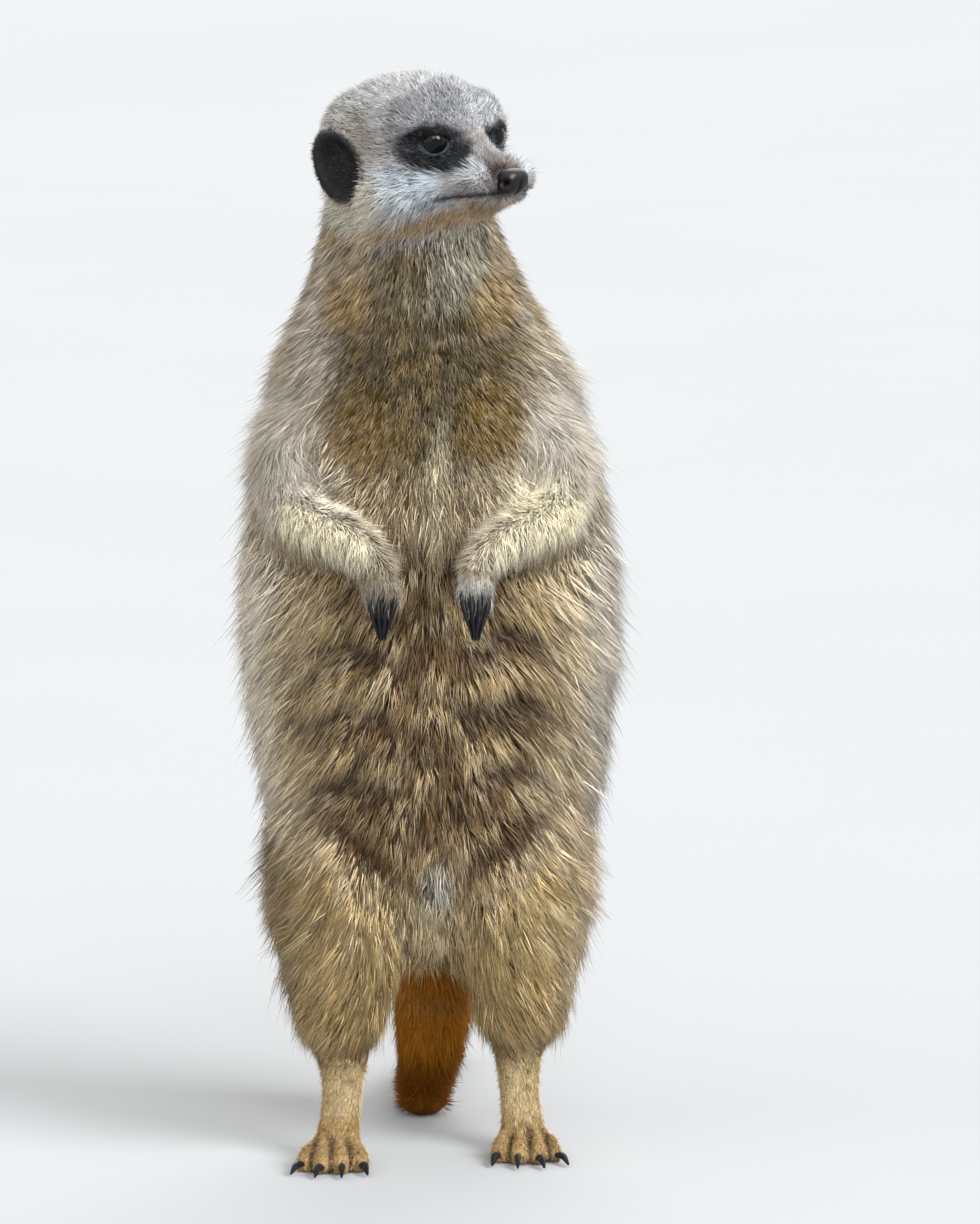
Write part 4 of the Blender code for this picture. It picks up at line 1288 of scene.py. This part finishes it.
# where it grows, how many tufts, their width in mm, shape, unwrap, seed, and how it lies
COATS = {
    "face": (face_here * (1 + 1.2 * ease(18, 30, f)), 36000, 0.24, STRAIGHT, round_skull, 11, dict(
        lock=4, lean=0.15, stand=1.05, grizzle=0.8, vary=0.4, wisps=0.10, tousled=0.42)),
    "crown": (head_here & ~face_here, 31000, 0.30, STRAIGHT, round_skull, 12, dict(
        lock=4, lean=0.2, stand=1.4, grizzle=1.3, wisps=0.14, tousled=0.6)),
    "ears": (ear_here * (0.2 + ease(0.6, 0.85, across)), 7000, 0.25, STRAIGHT, round_limbs, 13, dict(
        lock=4, lean=0.2, stand=0.5, grizzle=0.2, wisps=0.0)),
    "neck": (neck_here, 16000, 0.30, BENT, round_axis(-6, -42), 14, dict(tousled=0.22)),
    "chest": (chest_here, 23000, 0.29, BENT, round_axis(0, -20), 15, dict(
        lock=6, lean=0.3, grizzle=1.1, tousled=0.28)),
    "belly": (belly_here * thin_belly, 19000, 0.29, BENT, round_axis(0, -20), 16, dict(
        lock=12, lean=0.55, stand=0.95, grizzle=0.6, wisps=0.14, tousled=0.24)),
    "sides": (side_here * (x > 0), 23500, 0.35, BENT, round_axis(0, -38), 17, side_ways),
    "sides_right": (side_here * (x <= 0), 23500, 0.35, BENT, round_axis(0, -38), 18, side_ways),
    "back": (back_here, 19000, 0.41, BENT, round_axis(0, -60), 19, dict(tousled=0.2)),
    "forelegs": (limb("foreleg"), 24000, 0.28, STRAIGHT, round_limbs, 20, dict(
        lock=6, lean=0.3, grizzle=0.7, wisps=0.12, tousled=0.24)),
    "paws": (limb("forepaw", "hindfoot") * (1 - bare_sole), 18000, 0.32, STRAIGHT, round_limbs, 21, dict(
        lock=4, lean=0.2, grizzle=0.25, wisps=0.12)),
    "fingers": (limb("forepaw") * ease(177, 174, z), 480, 0.34, STRAIGHT, round_limbs, 26, dict(
        lock=5, lean=0.6, stand=0.8, grizzle=0.5, longer=2.1)),
    "thighs": (limb("thigh"), 20500, 0.34, BENT, round_limbs, 22, dict(
        lock=14, lean=0.7, grizzle=0.7, wisps=0.15, tousled=0.28)),
    "shanks": (limb("shank") * (1 + ease(40, 32, z)), 17500, 0.32, BENT, round_limbs, 23, dict(
        lock=8, lean=0.45, grizzle=0.5, wisps=0.1, tousled=0.2)),
    "tail": (limb(*TAIL) * (1 - bare_sole), 15000, 0.32, STRAIGHT, round_limbs, 24, dict(
        lock=6, lean=0.3, grizzle=0.0)),
}
coats = {name: make_coat("coat_" + name, *row[:-1], **row[-1]) for name, row in COATS.items()}
print("triangles of coat:", sum(len(thing.data.polygons) for thing in coats.values()))
SLOTS = {"face": "head_coat", "crown": "head_coat", "ears": "dark_coat", "belly": "pale_coat",
         "tail": "rust_coat"}

# %% [markdown]
# A hair of this animal is dark at its root, tan along its length and pale at its end. The
# tuft's stored colour gives the coat its markings, a ramp along the tuft gives the bands of
# the single hair, and a fine noise keeps neighbours from looking alike.

# %% Finish of the coat
def coat_finish(name, rough, glow, shine=0.14):
    finish = Finish(name, Specular_IOR_Level=shine)
    band = finish.ramp(finish.own("along"), [(0.0, (0.50, 0.44, 0.36)), (0.35, (1.08, 1.03, 0.95)),
                                             (0.8, (1.35, 1.34, 1.31)), (1.0, (glow, glow, glow))])
    fine = finish.ramp(finish.noise(900, 2.0), [(0.3, (0.86, 0.85, 0.84)), (0.7, (1.0, 1.0, 1.0))])
    base = finish.mixed(1.0, finish.own("tone", 0), band, "MULTIPLY")
    finish.colour(finish.mixed(1.0, base, fine, "MULTIPLY"))
    finish.roughness(finish.noise(1400, 1.0) * 0.2 + rough)
    finish.bump(finish.noise(2600, 1.0), 0.2, 0.00008)
    print(name, "with", len(finish.tree.nodes), "nodes")
    return finish.material


body_fur = coat_finish("coat_finish", 0.48, 1.6)
FUR = {"head_coat": coat_finish("head_coat_finish", 0.52, 1.45),
       "dark_coat": coat_finish("dark_coat_finish", 0.6, 1.0),
       "rust_coat": coat_finish("rust_coat_finish", 0.6, 1.3, 0.03)}
for name, thing in coats.items():
    slot = SLOTS.get(name, "coat")
    thing.data.materials.append(FUR.get(slot, body_fur))
    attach(thing, "root")

# %% [markdown]
# Skin shows where hair is thin, dark and purplish on the belly. It wears the coat's own colours,
# darkened as by shade, with a fine speckle over them. Hair hides most of it, so after its colours
# are stored the hidden parts give up more than half of their faces.

# %% Finish of the skin
paint = Painting(tone * (0.6 + 0.25 * (points[:, 2] / MM < 34))[:, None])
paint.over(belly * ease(0.2, 0.6, belly) * 0.8, PURPLE)
store(skin, "tone", np.insert(paint.tone, 3, 1, axis=1))
skin_finish = Finish("skin_under_coat", Specular_IOR_Level=0.05)
speckle = skin_finish.ramp(skin_finish.noise(700, 4.0),
                           [(0.3, (0.62, 0.60, 0.58)), (0.7, (1.05, 1.05, 1.05))])
skin_finish.colour(skin_finish.mixed(1.0, skin_finish.own("tone", 0), speckle, "MULTIPLY"))
skin_finish.roughness(skin_finish.noise(300, 2.0) * 0.25 + 0.5)
skin_finish.bump(skin_finish.noise(1500, 3.0), 0.5, 0.0004)
skin.data.materials.append(skin_finish.material)

PLAIN = {"trunk": 1, "neck": 1, "thigh": 1, "tail_base": 1, "shank": 0.8, "foreleg": 0.8,
         "tail_middle": 0.8, "tail_tip": 0.6}
plain = sum(share_of_part[name] * much for name, much in PLAIN.items())
weight_group(skin, "plain", plain)
modified(skin, "DECIMATE", ratio=0.45, vertex_group="plain")
skin.vertex_groups.clear()
skin.data.shade_smooth()
print("finished skin:", sum(len(p.vertices) - 2 for p in skin.data.polygons), "triangles")
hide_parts(*FLESH)
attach(skin, "root")

# %% [markdown]
# The eye is a dark, wet ball with a clear bulge over the iris. A texture could paint the iris, but
# rings by the distance from the gaze do it with one ramp, and they always face the way the eye
# looks. The ball is a sphere, pushed out a little in front.

# %% Eyes
def make_eye(side):
    place = EYES[side]
    bpy.ops.mesh.primitive_uv_sphere_add(segments=64, ring_count=40, radius=EYE_RADIUS, location=place)
    eye = bpy.context.object
    eye.name = "eyeball_" + side
    bpy.ops.object.transform_apply(location=True, rotation=True, scale=True)
    points = points_of(eye)
    along, up, distance, ways = about_eye(points, side)
    bulge = 0.45 * ease(4.2, 1.0, np.hypot(along, up))
    set_points(eye, EYES[side] + ways * ((distance + bulge) * MM)[:, None])
    eye.data.shade_smooth()
    store(eye, "from_gaze", np.hypot(along, up) / 8)
    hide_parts("eye_" + side)
    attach(eye, "root")
    return eye


eye_finish = Finish("eye_finish", Specular_IOR_Level=0.18)
# arcs from the gaze over 8 mm: pupil, iris, its pale rim, then the dark white of the eye
eye_finish.colour(eye_finish.ramp(eye_finish.own("from_gaze"), [
    (0.0, (0.002, 0.002, 0.002)), (0.22, (0.002, 0.002, 0.002)), (0.27, (0.005, 0.0035, 0.003)),
    (0.44, (0.004, 0.003, 0.003)), (0.50, (0.008, 0.010, 0.014)), (0.54, (0.022, 0.031, 0.046)),
    (0.58, (0.015, 0.018, 0.024)), (0.62, (0.012, 0.011, 0.012))]))
eye_finish.roughness(eye_finish.noise(400, 2.0) * 0.04 + 0.02)
for side in SIGN:
    make_eye(side).data.materials.append(eye_finish.material)
print("eyeballs with a radius in mm of", round(EYE_RADIUS / MM, 2))

# %% [markdown]
# The nose is a black, pebbled pad with two comma-shaped nostrils and a groove down its middle. A
# ball squared off towards a box has the pad's blunt form, and the nostrils, their wings and the
# groove are dents and swellings by their place on it.

# %% Nose
def make_nose():
    low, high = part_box("nose")
    bpy.ops.mesh.primitive_ico_sphere_add(subdivisions=6, radius=1, location=(0, 0, 0))
    nose = bpy.context.object
    nose.name = "nose_pad"
    ball = points_of(nose)
    square = 1 / (np.abs(ball) ** 2.7).sum(1)[:, None] ** (1 / 2.7)  # fuller corners than a ball
    size = np.array([3.3, 4.5, 3.7])
    shape = ball * square * size
    f, l, u = shape.T
    side = np.abs(l)
    away = np.sqrt((f - 1.3) ** 2 + (side - 4.4) ** 2 + (u / 0.9) ** 2)
    hole = peak(away, 0, 1.25)
    slit = peak(u, -0.3 * f, 0.5) * ease(3.6, 4.2, side)
    groove = peak(l, 0, 0.45) * ease(1.8, -0.2, u) * ease(0, 1.2, f)
    wing = peak(away, 1.9, 0.55)
    move = -2.2 * hole - 0.9 * slit * between(-2.6, -0.6, 0.5, 1.5, f) - 0.9 * groove + 0.25 * wing
    shape = shape + ball * move[:, None]
    shape[:, 2] = np.where(shape[:, 2] > 0, shape[:, 2] * 1.02, shape[:, 2] * 0.97)
    shape[:, 0] += 0.28 * np.minimum(shape[:, 2], 0)  # the lower half draws back to the lip
    shape[:, 0] += 0.8  # the pad is flat, and sits on the front of its solid
    set_points(nose, np.array((low + high) / 2) + shape @ HEAD_AXES * MM)
    nose.data.shade_smooth()
    # painted sheen: the pad is lighter on top, where light from above would shine on it
    store(nose, "top", ease(0.35, 0.95, ball[:, 2] + 0.1 * ball[:, 0]))
    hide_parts("nose")
    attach(nose, "root")
    return nose


nose_finish = Finish("nose_finish", Coat_Weight=0.3, Coat_Roughness=0.3, Specular_IOR_Level=0.08)
pebbles = nose_finish.node("ShaderNodeTexVoronoi", {"feature": "F1"},
                           {"Vector": nose_finish.place(), "Scale": 2600.0})
dark_pad = nose_finish.ramp(nose_finish.noise(500, 3.0),
                            [(0.35, (0.005, 0.0035, 0.0035)), (0.7, (0.011, 0.0075, 0.0075))])
# the pad's dark colour, lighter on top as a painted sheen
nose_finish.colour(nose_finish.mixed(nose_finish.own("top"), dark_pad, (0.026, 0.022, 0.025)))
nose_finish.roughness(nose_finish.noise(700, 2.0) * 0.2 + 0.25)
nose_finish.bump(pebbles, 0.3, 0.0001)
nose = make_nose()
nose.data.materials.append(nose_finish.material)
print("nose pad in mm:", [round(side / MM, 1) for side in nose.dimensions])

# %% [markdown]
# The claws are dark horn, long on the forefeet for digging. Each starts as a copy of its packed
# solid, which has the right place and curve. It is smoothed, and enlarged from its tip, so that
# its root is buried in the toe, and the claws of a hanging hand run towards one another.

# %% Claws
claw_finish = Finish("claw_finish", Specular_IOR_Level=0.12)
drawn_out = {"Vector": claw_finish.place(), "Scale": (14.0, 14.0, 2.0)}
grain = claw_finish.noise(60, 4.0, claw_finish.node("ShaderNodeMapping", {}, drawn_out))
claw_finish.colour(claw_finish.ramp(grain, [
    (0.3, (0.006, 0.006, 0.007)), (0.62, (0.012, 0.012, 0.014)), (0.8, (0.035, 0.034, 0.036))]))
claw_finish.roughness(claw_finish.noise(500, 2.0) * 0.2 + 0.28)
claw_finish.bump(grain, 0.2, 0.0001)


def make_claw(node):
    claw, *_ = one_mesh(node.replace("claw", "_claw"), [node])
    merge_points(claw, SAME_PLACE)
    modified(claw, "SUBSURF", levels=2, render_levels=2)
    low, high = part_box(node)
    tip = np.array((low + high) / 2)
    tip[2] = low.z  # the claw grows up and back from its tip, so that its root sits on the toe
    fore = "fore" in node
    much = np.array((1.12, 1.35, 1.45) if fore else (1.25, 1.1, 1.15))
    shape = points_of(claw)
    shape = tip + (shape - tip) * much - np.array([0, (1.1 if fore else 0.4) * MM, 0])
    if fore:  # the fingers hang together, so their claws run to one another
        group = TOES["forepaw_" + node.split("_")[1]][0].mean(0)[0]
        up = (shape[:, 2] - tip[2]) / (high.z - low.z)
        shape[:, 0] += (group - tip[0]) * (0.5 - 0.36 * ease(0, 1.1, up))
        shape[:, 1] += ease(0.7, 1.3, up) * 2.4 * MM
    set_points(claw, shape)
    claw.data.shade_smooth()
    claw.data.materials.append(claw_finish.material)
    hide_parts(node)
    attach(claw, "root")


claw_nodes = sorted(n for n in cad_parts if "claw" in n)
for node in claw_nodes:
    make_claw(node)
print("claws:", len(claw_nodes))
